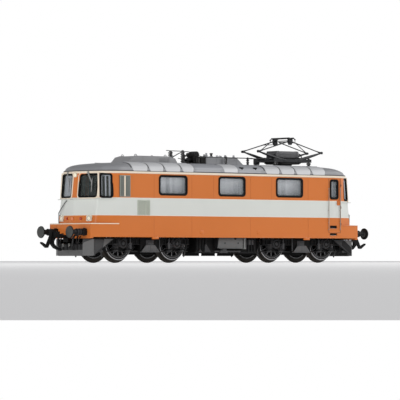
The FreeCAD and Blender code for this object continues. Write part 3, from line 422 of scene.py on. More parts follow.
CAD_MATERIALS = {
    "body_shell": "livery", "window_frames": "rubber", "side_window_panes": "pane", "cab_windows_left": "screen",
    "cab_windows_right": "screen", "roof_shell": "roof", "chassis_frame": "metal", "motor_block": "metal",
    # underfloor_boxes keep the dark shaded tone; their lit grey lids come further down
    "cab_interior_left": "cab", "cab_interior_right": "cab", "underfloor_trough": "black", "underfloor_boxes": "dark",
    "buffers_left": "dark", "buffers_right": "dark", "headlamps_left": "lamp", "headlamps_right": "lamp",
    "tail_lamps_left": "red", "tail_lamps_right": "red", "roof_hump": "hump", "roof_box": "box",
    "roof_insulators": "insulator", "main_switch": "dark", "roof_busbar": "wire", "pantograph_base": "wire",
    "pantograph_insulators": "insulator", "pantograph_drive": "metal", "pantograph_head": "wire",
    "pantograph_lower_arm_a": "wire", "pantograph_lower_arm_b": "wire", "pantograph_upper_arm_a": "wire",
    "pantograph_upper_arm_b": "wire", "bogie_frame_left": "black", "bogie_frame_right": "black",
    "bogie_sides_left": "black", "bogie_sides_right": "black", "snow_plough_left": "plough", "snow_plough_right": "plough",
    "coupler_left": "black", "coupler_right": "black",
}
for i in (1, 2, 3, 4):
    CAD_MATERIALS["wheelset_%d_tyres" % i] = "tyre_%d" % i
    CAD_MATERIALS["wheelset_%d_centres" % i] = "wheel"
for name, obj in NODES.items():
    obj.data.materials.clear()
    obj.data.materials.append(MAT[CAD_MATERIALS[name]])


# ------------------------------------------------------------------ shapes, in millimetres
class Shape:
    """Gathers closed forms into one mesh; self.at places whatever is added next."""

    def __init__(self):
        self.bm = bmesh.new()
        self.at = Matrix.Identity(4)

    def add(self, verts, faces):
        vs = [self.bm.verts.new(self.at @ Vector(v)) for v in verts]
        out = []
        for f in faces:
            out.append(self.bm.faces.new([vs[i] for i in f]))
        return out

    def soften(self, faces, width, seg=1):
        if width > 0:
            edges = list({e for f in faces for e in f.edges})
            bmesh.ops.bevel(self.bm, geom=edges, offset=width, segments=seg, profile=0.5, affect="EDGES",
                            clamp_overlap=True)

    def box(self, x0, x1, y0, y1, z0, z1, bev=0.06, seg=1):
        x0, x1 = sorted((x0, x1))
        y0, y1 = sorted((y0, y1))
        z0, z1 = sorted((z0, z1))
        vs = [(x, y, z) for z in (z0, z1) for y in (y0, y1) for x in (x0, x1)]
        fs = [(0, 2, 3, 1), (4, 5, 7, 6), (0, 1, 5, 4), (2, 6, 7, 3), (0, 4, 6, 2), (1, 3, 7, 5)]
        self.soften(self.add(vs, fs), min(bev, 0.35 * min(x1 - x0, y1 - y0, z1 - z0)), seg)

    def prism(self, outline, a0, a1, plane="xz", bev=0.05, seg=1):
        """Outline in a plane, pushed from a0 to a1 along the third axis."""
        put = {"xz": lambda u, v, a: (u, a, v), "xy": lambda u, v, a: (u, v, a), "yz": lambda u, v, a: (a, u, v)}[plane]
        n = len(outline)
        vs = [put(u, v, a0) for u, v in outline] + [put(u, v, a1) for u, v in outline]
        fs = [tuple(range(n)), tuple(range(2 * n - 1, n - 1, -1))]
        fs += [(i, i + n, (i + 1) % n + n, (i + 1) % n) for i in range(n)]
        self.soften(self.add(vs, fs), bev, seg)

    def lathe(self, profile, origin, axis, seg=24, turn=0.0):
        """Profile of (radius, distance along the axis), turned about the axis."""
        axis = Vector(axis).normalized()
        origin = Vector(origin)
        q = axis.to_track_quat("Z", "Y")
        verts, rings = [], []
        hoop = len(profile) > 2 and profile[0] == profile[-1] and profile[0][0] > 1e-6
        for r, a in profile[:-1] if hoop else profile:
            if r < 1e-6:
                rings.append([len(verts)])
                verts.append(origin + axis * a)
            else:
                ring = []
                for k in range(seg):
                    t = turn + 2 * math.pi * k / seg
                    ring.append(len(verts))
                    verts.append(origin + axis * a + q @ Vector((r * math.cos(t), r * math.sin(t), 0)))
                rings.append(ring)
        faces = []
        for a, b in zip(rings, rings[1:] + (rings[:1] if hoop else [])):
            for k in range(seg):
                j = (k + 1) % seg
                if len(a) == 1 and len(b) == 1:
                    break
                if len(a) == 1:
                    faces.append((a[0], b[k], b[j]))
                elif len(b) == 1:
                    faces.append((a[k], a[j], b[0]))
                else:
                    faces.append((a[k], a[j], b[j], b[k]))
        if len(rings[0]) > 1 and not hoop:
            faces.append(tuple(reversed(rings[0])))
        if len(rings[-1]) > 1 and not hoop:
            faces.append(tuple(rings[-1]))
        self.add(verts, faces)

    def rod(self, p0, p1, r, seg=10, bev=0.3):
        """Round bar with softened ends."""
        p0, p1 = Vector(p0), Vector(p1)
        h = (p1 - p0).length
        b = min(bev * r, 0.3 * h)
        self.lathe([(0, 0), (r - b, 0), (r, b), (r, h - b), (r - b, h), (0, h)], p0, p1 - p0, seg)

    def tube(self, pts, r, seg=8, steps=5, closed=False):
        """Round bar along a smooth line through the points; r may be a list, one for each point."""
        pts = [Vector(p) for p in pts]
        n = len(pts)
        radii = list(r) if isinstance(r, (list, tuple)) else [r] * n
        line, width = [], []
        if steps <= 1 or n < 3:
            line, width = pts, radii
        else:
            last = n if closed else n - 1
            for i in range(last):
                p = [pts[(i + k) % n] if closed else pts[min(max(i + k, 0), n - 1)] for k in (-1, 0, 1, 2)]
                for j in range(steps):
                    t = j / steps
                    line.append(0.5 * ((2 * p[1]) + (p[2] - p[0]) * t + (2 * p[0] - 5 * p[1] + 4 * p[2] - p[3]) * t * t
                                       + (3 * p[1] - p[0] - 3 * p[2] + p[3]) * t ** 3))
                    width.append(radii[i % n] * (1 - t) + radii[(i + 1) % n] * t)
            if not closed:
                line.append(pts[-1])
                width.append(radii[-1])
        m = len(line)
        tangents = []
        for i in range(m):
            a = line[(i - 1) % m] if closed or i > 0 else line[i]
            b = line[(i + 1) % m] if closed or i < m - 1 else line[i]
            tangents.append((b - a).normalized())
        side = tangents[0].orthogonal().normalized()
        verts, faces = [], []
        for i in range(m):
            side = (side - tangents[i] * side.dot(tangents[i])).normalized()
            other = tangents[i].cross(side)
            for k in range(seg):
                t = 2 * math.pi * k / seg
                verts.append(line[i] + (side * math.cos(t) + other * math.sin(t)) * width[i])
        for i in range(m if closed else m - 1):
            j = (i + 1) % m
            for k in range(seg):
                q = (k + 1) % seg
                faces.append((i * seg + k, i * seg + q, j * seg + q, j * seg + k))
        if not closed:
            faces.append(tuple(reversed(range(seg))))
            faces.append(tuple(range((m - 1) * seg, m * seg)))
        self.add(verts, faces)

    def sweep(self, path, axis, profile, closed=True):
        """Flat profile carried along a path that lies across the axis; profile is (outwards, along the axis)."""
        axis = Vector(axis).normalized()
        path = [Vector(p) for p in path]
        n, m = len(path), len(profile)
        verts, faces = [], []
        for i in range(n):
            a = path[(i - 1) % n] if closed or i > 0 else path[i]
            b = path[(i + 1) % n] if closed or i < n - 1 else path[i]
            d0 = (path[i] - a).normalized() if (path[i] - a).length > 1e-9 else (b - path[i]).normalized()
            d1 = (b - path[i]).normalized() if (b - path[i]).length > 1e-9 else d0
            t = (d0 + d1).normalized()
            out = axis.cross(t).normalized()
            stretch = 1.0 / max(0.35, t.dot(d1))
            for u, v in profile:
                verts.append(path[i] + out * (u * stretch) + axis * v)
        for i in range(n if closed else n - 1):
            j = (i + 1) % n
            for k in range(m):
                q = (k + 1) % m
                faces.append((i * m + k, i * m + q, j * m + q, j * m + k))
        if not closed:
            faces.append(tuple(reversed(range(m))))
            faces.append(tuple(range((n - 1) * m, n * m)))
        self.add(verts, faces)

    def spring(self, centre, axis, rad, length, turns, wire, seg=6):
        axis = Vector(axis).normalized()
        q = axis.to_track_quat("Z", "Y")
        n = int(turns * 12)
        pts = []
        for i in range(n + 1):
            t = 2 * math.pi * i / 12
            pts.append(Vector(centre) + axis * (length * i / n) + q @ Vector((rad * math.cos(t), rad * math.sin(t), 0)))
        self.tube(pts, wire, seg, 1)

    def bolt(self, at, axis, rad=0.22, high=0.16):
        self.lathe([(rad, 0), (rad, high * 0.7), (rad * 0.75, high), (0, high)], at, axis, 6)

    def done(self, name, body, mat, slot, smooth=38.0):
        bmesh.ops.recalc_face_normals(self.bm, faces=self.bm.faces)
        bmesh.ops.scale(self.bm, vec=(MM, MM, MM), verts=self.bm.verts)
        me = bpy.data.meshes.new(name)
        self.bm.to_mesh(me)
        self.bm.free()
        for p in me.polygons:
            p.use_smooth = True
        me.set_sharp_from_angle(angle=math.radians(smooth))
        me.materials.append(MAT[mat])
        o = bpy.data.objects.new(name, me)
        scene.collection.objects.link(o)
        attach(o, body)
        return o


HALF = Matrix.Rotation(math.pi, 4, "Z")
BOTH = (Matrix.Identity(4), HALF)


def placed(x=0.0, y=0.0, z=0.0):
    return Matrix.Translation((x, y, z))


# ------------------------------------------------------------------ the body's plan lines, as in the construction
WALLS = [(16.8, 17.07, 64.1, 73.70, 13.20, 76.25), (39.3, 17.07, 64.1, 70.90, 12.93, 74.25)]
ROOF = [(39.30, 17.07, 64.1, 70.90, 12.93, 74.25), (41.00, 16.70, 63.8, 69.80, 12.40, 72.80),
        (42.00, 15.80, 63.0, 67.60, 11.70, 70.20), (42.55, 14.85, 61.8, 65.00, 10.90, 67.20),
        (43.00, 13.40, 59.5, 61.20, 9.90, 63.00), (43.20, 11.50, 55.5, 57.00, 8.50, 58.50)]
ROOF_Z = 43.2


def wall_at(z):
    k = (z - WALLS[0][0]) / (WALLS[1][0] - WALLS[0][0])
    return [a + (b - a) * k for a, b in zip(WALLS[0], WALLS[1])]


def plan_line(row, out=0.0, arc=6):
    """Plan outline with rounded corners, as points at the row's height, counter-clockwise from (x_wall, +half)."""
    z, half, x_wall, x_corner, y_corner, x_ridge = row
    half, y_corner = half + out, y_corner + 0.9 * out
    x_wall, x_corner, x_ridge = x_wall + 0.25 * out, x_corner + out, x_ridge + out
    pts = [(x_wall, half, 9.0), (x_corner, y_corner, 1.8), (x_ridge, 0, 7.0), (x_corner, -y_corner, 1.8),
           (x_wall, -half, 9.0)]
    pts += [(-x, -y, r) for x, y, r in pts]
    line = []
    n = len(pts)
    for i, (x, y, r) in enumerate(pts):
        p = Vector((x, y, z))
        a = Vector((pts[i - 1][0], pts[i - 1][1], z)) - p
        b = Vector((pts[(i + 1) % n][0], pts[(i + 1) % n][1], z)) - p
        room = 0.42 * min(a.length, b.length)
        a.normalize()
        b.normalize()
        turn = math.acos(max(-1.0, min(1.0, a.dot(b))))
        t = min(r / math.tan(turn / 2), room)
        r = t * math.tan(turn / 2)
        centre = p + (a + b).normalized() * (r / math.sin(turn / 2))
        start, end = p + a * t - centre, p + b * t - centre
        full = start.angle(end)
        side = 1.0 if start.cross(end).z > 0 else -1.0
        for k in range(arc + 1):
            line.append(centre + Matrix.Rotation(side * full * k / arc, 3, "Z") @ start)
    return line


def wall_plane(p0, p1, p2):
    """Local X from p0 to p1, Z up the wall, -Y out of the wall."""
    p0, p1, p2 = Vector(p0), Vector(p1), Vector(p2)
    u = (p1 - p0).normalized()
    inward = (p2 - p0).cross(u).normalized()
    up = u.cross(inward)
    return Matrix(((u.x, inward.x, up.x, p0.x), (u.y, inward.y, up.y, p0.y), (u.z, inward.z, up.z, p0.z), (0, 0, 0, 1)))


Z_LOW, Z_HIGH = 27.8, 38.2
lo, hi = wall_at(Z_LOW), wall_at(Z_HIGH)
SIDE = placed(0, -17.07, 0)
TAPER = wall_plane((-lo[3], -lo[4], Z_LOW), (-lo[2], -lo[1], Z_LOW), (-hi[3], -hi[4], Z_HIGH))
FRONT = wall_plane((-lo[5], 0, Z_LOW), (-lo[3], -lo[4], Z_LOW), (-hi[3], -hi[4], Z_HIGH))
FRONT_FAR = wall_plane((-lo[3], lo[4], Z_LOW), (-lo[5], 0, Z_LOW), (-hi[5], 0, Z_HIGH))
TAPER_FAR = wall_plane((-lo[2], lo[1], Z_LOW), (-lo[3], lo[4], Z_LOW), (-hi[3], hi[4], Z_HIGH))
FRONT_LEN = math.hypot(lo[5] - lo[3], lo[4])
TAPER_LEN = math.hypot(lo[3] - lo[2], lo[4] - lo[1])


def round_rect(x0, x1, z0, z1, rad, y=0.0, arc=5):
    """Rounded rectangle in a wall's plane, seen from outside it runs clockwise."""
    pts = []
    for cx, cz, a0 in ((x1 - rad, z1 - rad, 90.0), (x1 - rad, z0 + rad, 0.0), (x0 + rad, z0 + rad, -90.0), (x0 + rad, z1 - rad, 180.0)):
        for k in range(arc + 1):
            t = math.radians(a0 - 90.0 * k / arc)
            pts.append(Vector((cx + rad * math.cos(t), y, cz + rad * math.sin(t))))
    return pts


def frame_ring(s, place, x0, x1, z0, z1, rad, width, out, depth=0.3, bev=0.12):
    """Raised frame round a wall opening: its outside edge at the given rectangle."""
    s.at = place
    path = round_rect(x0, x1, z0, z1, rad)
    # outwards in the plane is the first number, out of the wall the second
    profile = [(0, -depth), (0, out - bev), (-bev, out), (-width + bev, out), (-width, out - bev), (-width, -depth)]
    s.sweep(path, (0, -1, 0), profile)
    s.at = Matrix.Identity(4)


def slats(s, place, x0, x1, z0, z1, pitch, out=0.16, upright=False, bev=0.0):
    """Row of slanted slats that fills a rectangle of a wall."""
    s.at = place
    a, b = (x0, x1) if upright else (z0, z1)
    n = max(1, int(round((b - a) / pitch)))
    step = (b - a) / n
    for i in range(n):
        p = a + i * step
        if upright:
            s.prism([(p + 0.08 * step, 0.05), (p + 0.22 * step, -out), (p + 0.5 * step, -out), (p + 0.75 * step, 0.05)],
                    z0, z1, "xy", bev)
        else:
            s.prism([(0.05, p + 0.1 * step), (-out, p + 0.2 * step), (-out, p + 0.45 * step), (0.05, p + 0.85 * step)],
                    x0, x1, "yz", bev)
    s.at = Matrix.Identity(4)


def smooth_by_angle(limit):
    """Modifier group for the construction's own meshes: joins split corners and smooths faces that meet gently."""
    g = bpy.data.node_groups.new("smooth_by_angle", "GeometryNodeTree")
    g.interface.new_socket("Geometry", in_out="INPUT", socket_type="NodeSocketGeometry")
    g.interface.new_socket("Geometry", in_out="OUTPUT", socket_type="NodeSocketGeometry")
    start, end = g.nodes.new("NodeGroupInput"), g.nodes.new("NodeGroupOutput")
    merge = g.nodes.new("GeometryNodeMergeByDistance")
    merge.inputs["Distance"].default_value = 2e-6
    faces = g.nodes.new("GeometryNodeSetShadeSmooth")
    faces.domain = "FACE"
    edges = g.nodes.new("GeometryNodeSetShadeSmooth")
    edges.domain = "EDGE"
    angle = g.nodes.new("GeometryNodeInputMeshEdgeAngle")
    sharp = g.nodes.new("FunctionNodeCompare")
    sharp.data_type = "FLOAT"
    sharp.operation = "GREATER_THAN"
    sharp.inputs["B"].default_value = math.radians(limit)
    g.links.new(start.outputs[0], merge.inputs["Geometry"])
    g.links.new(merge.outputs[0], faces.inputs["Geometry"])
    faces.inputs["Shade Smooth"].default_value = True
    g.links.new(faces.outputs[0], edges.inputs["Geometry"])
    g.links.new(angle.outputs["Unsigned Angle"], sharp.inputs["A"])
    g.links.new(sharp.outputs["Result"], edges.inputs["Selection"])
    edges.inputs["Shade Smooth"].default_value = False
    g.links.new(edges.outputs[0], end.inputs[0])
    return g


SMOOTH = smooth_by_angle(28.0)
for name, obj in NODES.items():
    if name in ("roof_shell",):
        continue
    mod = obj.modifiers.new("smooth", "NODES")
    mod.node_group = SMOOTH


# ------------------------------------------------------------------ roof skin
def roof_skin():
    """One smooth skin over the roof's plan sections, flat on top, with a rolled gutter edge."""
    def between(z):
        for a, b in zip(ROOF, ROOF[1:]):
            if z <= b[0]:
                k = (z - a[0]) / (b[0] - a[0])
                return [p + (q - p) * k for p, q in zip(a, b)]
        return list(ROOF[-1])

    # heights closer together towards the top; columns smoothed over their neighbours
    heights = [39.3, 39.7, 40.2, 40.7, 41.1, 41.5, 41.85, 42.15, 42.4, 42.62, 42.8, 42.95, 43.07, 43.15, 43.2]
    rows = []
    for z in heights:
        acc, total = [0.0] * 6, 0.0
        for d, w in ((-0.3, 1.0), (-0.15, 2.0), (0.0, 3.0), (0.15, 2.0), (0.3, 1.0)):
            zz = min(max(z + d, 39.3), 43.2)
            r = between(zz)
            acc = [p + w * q for p, q in zip(acc, r)]
            total += w
        r = [p / total for p in acc]
        r[0] = z
        rows.append(r)
    rows[0] = list(ROOF[0])
    lines = [plan_line(r, 0.0, 7) for r in rows]
    top = list(ROOF[-1])
    for inset, dz in ((0.8, 0.0), (2.4, 0.0), (6.0, 0.0)):
        lines.append([p + Vector((0, 0, dz)) for p in plan_line([top[0]] + [top[1] - inset, top[2] - inset * 0.6, top[3] - inset,
                                                                          top[4] - inset * 0.75, top[5] - inset], 0.0, 7)])
    s = Shape()
    verts, faces = [], []
    n = len(lines[0])
    under = [Vector((p.x * 0.999, p.y * 0.985, 38.4)) for p in lines[0]]
    stack = [under] + lines
    for line in stack:
        verts += line
    for i in range(len(stack) - 1):
        for k in range(n):
            j = (k + 1) % n
            faces.append((i * n + k, i * n + j, (i + 1) * n + j, (i + 1) * n + k))
    faces.append(tuple(range((len(stack) - 1) * n, len(stack) * n)))
    faces.append(tuple(reversed(range(n))))
    s.add(verts, faces)
    o = s.done("roof_skin", "root", "roof", "roof_grey", 30)
    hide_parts("roof_shell")


roof_skin()


def shoulder(y_list, lift=0.0):
    """Points (y, z) of the roof's near shoulder at mid length, for given half widths."""
    prof = [(r[1], r[0]) for r in ROOF]
    out = []
    for y in y_list:
        z = prof[0][1] if y >= prof[0][0] else prof[-1][1]
        for (ya, za), (yb, zb) in zip(prof, prof[1:]):
            if yb <= y <= ya:
                z = za + (zb - za) * (ya - y) / (ya - yb)
        out.append((y, z))
    return out


def shoulder_panel(s, x0, x1, lift, y_low=16.92, y_high=11.6, round_end=0.0, ribs=0):
    """Raised sheet that follows the near shoulder from x0 to x1, with rounded lower corners."""
    ys = [y_low - (y_low - y_high) * k / 12 for k in range(13)]
    prof = shoulder(ys)
    pts = [Vector((0, -y, z)) for y, z in prof]
    rows = []
    for i, p in enumerate(pts):
        a, b = pts[max(i - 1, 0)], pts[min(i + 1, len(pts) - 1)]
        t = (b - a).normalized()
        nrm = Vector((1, 0, 0)).cross(t)
        if nrm.y > 0 and nrm.z < 0:
            nrm = -nrm
        if nrm.z < 0:
            nrm = -nrm
        rows.append((p, nrm))
    nx = 8
    verts, faces = [], []
    m = len(rows)
    low = (rows[0][0].z, rows[0][0].z + 1.1)
    for layer in (0, 1):
        for i, (p, nrm) in enumerate(rows):
            # corners rounded off at the lower edge
            cut = 0.0
            if round_end:
                d = (p - rows[0][0]).length
                if d < round_end:
                    cut = round_end - math.sqrt(max(0.0, round_end ** 2 - (round_end - d) ** 2))
            for k in range(nx + 1):
                x = x0 + cut + (x1 - x0 - 2 * cut) * k / nx
                inner = 0 < k < nx and 0 < i < m - 1
                h = lift if inner else lift - 0.1
                q = p + nrm * (h if layer else -0.3)
                verts.append((x, q.y, q.z))
    w = nx + 1
    for i in range(m - 1):
        for k in range(nx):
            a = i * w + k
            faces.append((a, a + w, a + w + 1, a + 1))
            b = m * w + a
            faces.append((b, b + 1, b + w + 1, b + w))
    base = m * w
    for k in range(nx):
        faces.append((k, k + 1, base + k + 1, base + k))
        a = (m - 1) * w + k
        faces.append((a + 1, a, base + a, base + a + 1))
    for i in range(m - 1):
        a = i * w
        faces.append((a + w, a, base + a, base + a + w))
        a = i * w + nx
        faces.append((a, a + w, base + a + w, base + a))
    s.add(verts, faces)


SEAMS_A = [-57.3, -47.9, -39.1, -29.5, -22.0]
SEAMS_B = [18.6, 27.8, 36.7, 46.4, 55.2]


def roof_panels():
    light, dark, plate, strips = Shape(), Shape(), Shape(), Shape()
    for turn in BOTH:
        light.at = dark.at = plate.at = strips.at = turn
        for seams in (SEAMS_A, SEAMS_B):
            for a, b in zip(seams, seams[1:]):
                shoulder_panel(light, a + 0.5, b - 0.22, 0.3, y_low=17.03, y_high=11.0, round_end=0.7)
            for x in seams[:-1]:
                shoulder_panel(dark, x - 0.26, x + 0.56, 0.10, y_low=17.05, y_high=10.9)
            shoulder_panel(dark, seams[-1] - 0.2, seams[-1] + 0.06, 0.10, y_low=17.0, y_high=10.9)
        # smooth light panel between the groups and its darker neighbours
        shoulder_panel(plate, -5.0, 3.0, 0.22, y_low=17.0, y_high=11.3, round_end=0.3)
        shoulder_panel(strips, -21.6, -5.3, 0.12, y_low=17.0, y_high=11.2)
        shoulder_panel(strips, 3.3, 18.1, 0.12, y_low=17.0, y_high=11.2)
    light.at = dark.at = plate.at = strips.at = Matrix.Identity(4)
    light.done("roof_louvre_panels", "root", "roof_light", "roof_grey", 30)
    dark.done("roof_panel_seams", "root", "seam", "roof_grey", 30)
    plate.done("roof_light_panels", "root", "roof_pale", "roof_grey", 30)
    strips.done("roof_plain_panels", "root", "roof_mid", "roof_grey", 30)


def roof_details():
    rivets, rails, edge = Shape(), Shape(), Shape()
    small = Shape()
    for turn in BOTH:
        rivets.at = rails.at = edge.at = small.at = turn
        # two dark vents on the plain panel by the pantograph
        for x in (5.7, 13.6):
            small.box(x - 1.15, x + 1.05, -16.45, -15.3, 41.5, 42.2, 0.2, 2)
            small.box(x - 0.5, x + 0.4, -16.72, -16.0, 41.05, 41.8, 0.15)
        # row of rivets under the upper edge of the shoulder
        for k in range(22):
            x = -53.0 + k * 5.0
            rivets.bolt((x, -10.2, ROOF_Z), (0, 0, 1), 0.16, 0.1)
        # walkway boards with cross battens, beside the equipment
        rails.box(-19.0, 30.0, -10.4, -9.75, ROOF_Z, ROOF_Z + 0.34, 0.06)
        rails.box(-19.0, 30.0, -9.55, -8.9, ROOF_Z, ROOF_Z + 0.34, 0.06)
        for k in range(9):
            rails.box(-17.5 + k * 5.6, -16.9 + k * 5.6, -10.5, -8.8, ROOF_Z, ROOF_Z + 0.2, 0.04)
        # upper edge strip of the louvre groups
        for a, b in ((-57.3, -22.0), (18.6, 55.2)):
            edge.box(a + 0.2, b - 0.1, -11.25, -10.85, ROOF_Z - 0.1, ROOF_Z + 0.42, 0.08)
        # cross seams of the roof's top
        for x in (-57.5, -21.8, -5.1, 3.15, 18.35, 55.4):
            edge.box(x - 0.12, x + 0.12, -11.2, 0.0, ROOF_Z - 0.05, ROOF_Z + 0.07, 0.03)
    for s in (rivets, rails, edge, small):
        s.at = Matrix.Identity(4)
    rivets.done("roof_rivets", "root", "roof", "roof_grey")
    rails.done("roof_walkways", "root", "roof_mid", "roof_grey")
    edge.done("roof_edge_strips", "root", "roof_mid", "roof_grey")
    small.done("roof_vents", "root", "dark", "dark_plastic")


def hump_details():
    s, d = Shape(), Shape()
    z = 46.4
    # seams and lifting eyes of the cover over the left roof, and its bolted foot flange
    for x in (-42.0, -34.0, -27.2):
        s.box(x - 0.1, x + 0.1, -6.08, 6.08, ROOF_Z, z + 0.05, 0.03)
    s.box(-50.9, -22.1, -6.7, -5.9, ROOF_Z, ROOF_Z + 0.3, 0.08)
    s.box(-50.9, -22.1, 5.9, 6.7, ROOF_Z, ROOF_Z + 0.3, 0.08)
    s.box(-51.4, -50.4, -6.7, 6.7, ROOF_Z, ROOF_Z + 0.3, 0.08)
    for k in range(11):
        for y in (-6.4, 6.4):
            s.bolt((-49.6 + k * 2.6, y, ROOF_Z + 0.3), (0, 0, 1), 0.17, 0.12)
    for x, y in ((-45.0, -4.6), (-45.0, 4.6), (-28.4, -4.6), (-28.4, 4.6)):
        s.tube([(x - 0.55, y, z - 0.05), (x - 0.5, y, z + 0.5), (x, y, z + 0.75), (x + 0.5, y, z + 0.5), (x + 0.55, y, z - 0.05)],
               0.16, 6, 4)
        s.lathe([(0.75, 0), (0.75, 0.12), (0.5, 0.2), (0, 0.2)], (x, y, z - 0.02), (0, 0, 1), 14)
    # long chamfer strips on the cover's upper edges
    for y in (-6.0, 6.0):
        s.tube([(-48.2, y * 0.985, z - 0.72), (-45.5, y * 0.985, z - 0.04), (-26.8, y * 0.985, z - 0.04), (-23.8, y * 0.985, z - 0.92)],
               0.16, 6, 1)
    # louvres in the cover's sides
    for y0, y1 in ((-6.18, -5.95), (5.95, 6.18)):
        for k in range(9):
            s.box(-32.8 + k * 0.62, -32.45 + k * 0.62, y0, y1, ROOF_Z + 0.9, z - 0.7, 0.04)
    s.done("hump_trim", "root", "hump", "roof_grey")


def roof_box_details():
    s, d = Shape(), Shape()
    # sloped cover: frame strips, hatches, and a louvred dark end
    s.box(-6.6, 15.9, -6.75, -6.3, ROOF_Z, ROOF_Z + 0.28, 0.06)
    s.box(-6.6, 15.9, 6.3, 6.75, ROOF_Z, ROOF_Z + 0.28, 0.06)
    top = lambda x: 46.9 - 0.3 * (x + 6.4) / 17.8
    for x in (-6.25, -0.5, 5.4, 11.2):
        s.box(x - 0.12, x + 0.12, -6.5, 6.5, ROOF_Z + 0.2, top(x) + 0.08, 0.04)
    for y in (-6.45, 6.25):
        s.prism([(-6.4, top(-6.4) - 0.3), (11.4, top(11.4) - 0.3), (11.4, top(11.4) + 0.1), (-6.4, top(-6.4) + 0.1)], y, y + 0.2, "xz", 0.04)
    for x0, x1 in ((-5.4, -1.3), (0.5, 4.6), (6.2, 10.4)):
        for y0 in (-5.0, 0.8):
            s.box(x0, x1, y0, y0 + 4.2, top(x0) - 0.2, top(x0) + 0.14, 0.08)
            for bx, by in ((x0 + 0.4, y0 + 0.4), (x1 - 0.4, y0 + 0.4), (x0 + 0.4, y0 + 3.8), (x1 - 0.4, y0 + 3.8)):
                s.bolt((bx, by, top(x0) + 0.14), (0, 0, 1), 0.16, 0.1)
    for x, y in ((-4.2, -3.0), (2.0, 3.4), (6.4, -4.6), (9.4, 2.2)):
        s.lathe([(0.55, 0), (0.55, 0.5), (0.32, 0.62), (0.32, 1.0), (0, 1.05)], (x, y, 46.75), (0, 0, 1), 12)
    s.done("roof_box_trim", "root", "box", "roof_grey")
    # end grille: bars in front of a dark plate
    d.box(-6.62, -6.36, -6.2, 6.2, ROOF_Z + 0.25, 46.75, 0.05)
    for k in range(17):
        y = -5.9 + k * 0.72
        d.box(-6.85, -6.55, y, y + 0.34, ROOF_Z + 0.5, 45.3, 0.05)
    for k in range(4):
        d.box(-6.85, -6.55, -5.9, 5.9, 45.45 + k * 0.32, 45.62 + k * 0.32, 0.04)
    d.box(-6.9, -6.5, -6.2, -5.8, ROOF_Z, 46.8, 0.06)
    d.box(-6.9, -6.5, 5.8, 6.2, ROOF_Z, 46.8, 0.06)
    d.done("roof_box_grille", "root", "soot", "dark_metal")


def switch_details():
    s, w = Shape(), Shape()
    # breaker on the roof: ribbed drum, elbow pipes, tie rods and terminals
    for k in range(5):
        y = -3.6 + k * 0.86
        s.lathe([(1.26, 0), (1.5, 0.1), (1.5, 0.26), (1.26, 0.38)], (-9.6, y, 47.75), (0, 1, 0), 22)
    s.lathe([(0.75, 0), (0.95, 0.15), (0.95, 0.4), (0.5, 0.65), (0, 0.7)], (-9.6, 2.3, 47.75), (0, 1, 0), 18)
    for y in (0.9, 1.5):
        s.lathe([(0.74, 0), (0.98, 0.12), (0.98, 0.22), (0.74, 0.34)], (-9.6, y, 47.75), (0, 1, 0), 18)
    for z in (44.1, 45.0, 45.9):
        s.lathe([(0.95, 0), (1.25, 0.15), (1.25, 0.3), (0.95, 0.5)], (-9.8, 1.2, z), (0, 0, 1), 18)
        s.lathe([(0.7, 0), (0.95, 0.15), (0.95, 0.3), (0.7, 0.5)], (-9.6, -2.4, z + 0.2), (0, 0, 1), 18)
    s.tube([(-12.0, 2.4, 46.3), (-12.0, 2.0, 47.0), (-11.2, 1.4, 47.4), (-10.2, 1.2, 47.7)], 0.3, 8, 4)
    s.box(-13.0, -8.2, -3.2, -1.4, ROOF_Z, ROOF_Z + 0.9, 0.15)
    s.box(-8.4, -7.0, -1.0, 2.6, ROOF_Z, ROOF_Z + 1.9, 0.15)
    s.box(-12.9, -12.2, -1.4, 1.6, ROOF_Z + 0.4, ROOF_Z + 1.7, 0.1)
    for x in (-12.2, -8.0):
        for y in (-2.3, 2.9):
            s.bolt((x, y, ROOF_Z + 0.5), (0, 0, 1), 0.3, 0.25)
    s.done("main_switch_parts", "root", "soot", "black_plastic")
    # contact arm from post to post and its folded brace
    w.tube([(-20.4, 4.4, 49.6), (-18.4, 3.9, 49.45), (-15.4, 1.2, 49.3), (-13.2, -1.6, 49.0), (-11.9, -3.2, 48.6)], 0.17, 7, 4)
    w.rod((-18.4, 3.9, 49.0), (-18.4, 3.9, 49.6), 0.55, 12)
    w.rod((-17.9, -3.9, 49.0), (-17.9, -3.9, 49.55), 0.5, 12)
    w.tube([(-17.9, -3.9, 49.4), (-15.6, -2.0, 48.3), (-13.6, 0.2, 46.6)], 0.16, 7, 3)
    w.tube([(-20.6, -0.2, 46.5), (-18.6, -2.4, 48.2), (-17.0, -4.0, 48.9)], 0.2, 7, 3)
    w.rod((-20.9, 0.3, 46.3), (-20.2, -0.6, 46.9), 0.3, 8)
    w.tube([(-20.2, -3.6, 45.9), (-17.9, -3.9, 45.6), (-14.0, -3.4, 45.6), (-9.8, -2.6, 45.9)], 0.16, 7, 3)
    w.rod((-11.6, -3.2, 48.0), (-11.6, -3.2, 48.9), 0.35, 10)
    w.tube([(-9.6, -4.1, 47.4), (-8.6, -6.4, 46.8), (-6.4, -7.9, 46.5), (-1.0, -8.0, 46.55), (3.6, -8.0, 46.62)], 0.17, 7, 4)
    w.done("contact_arms", "root", "wire", "black_metal")


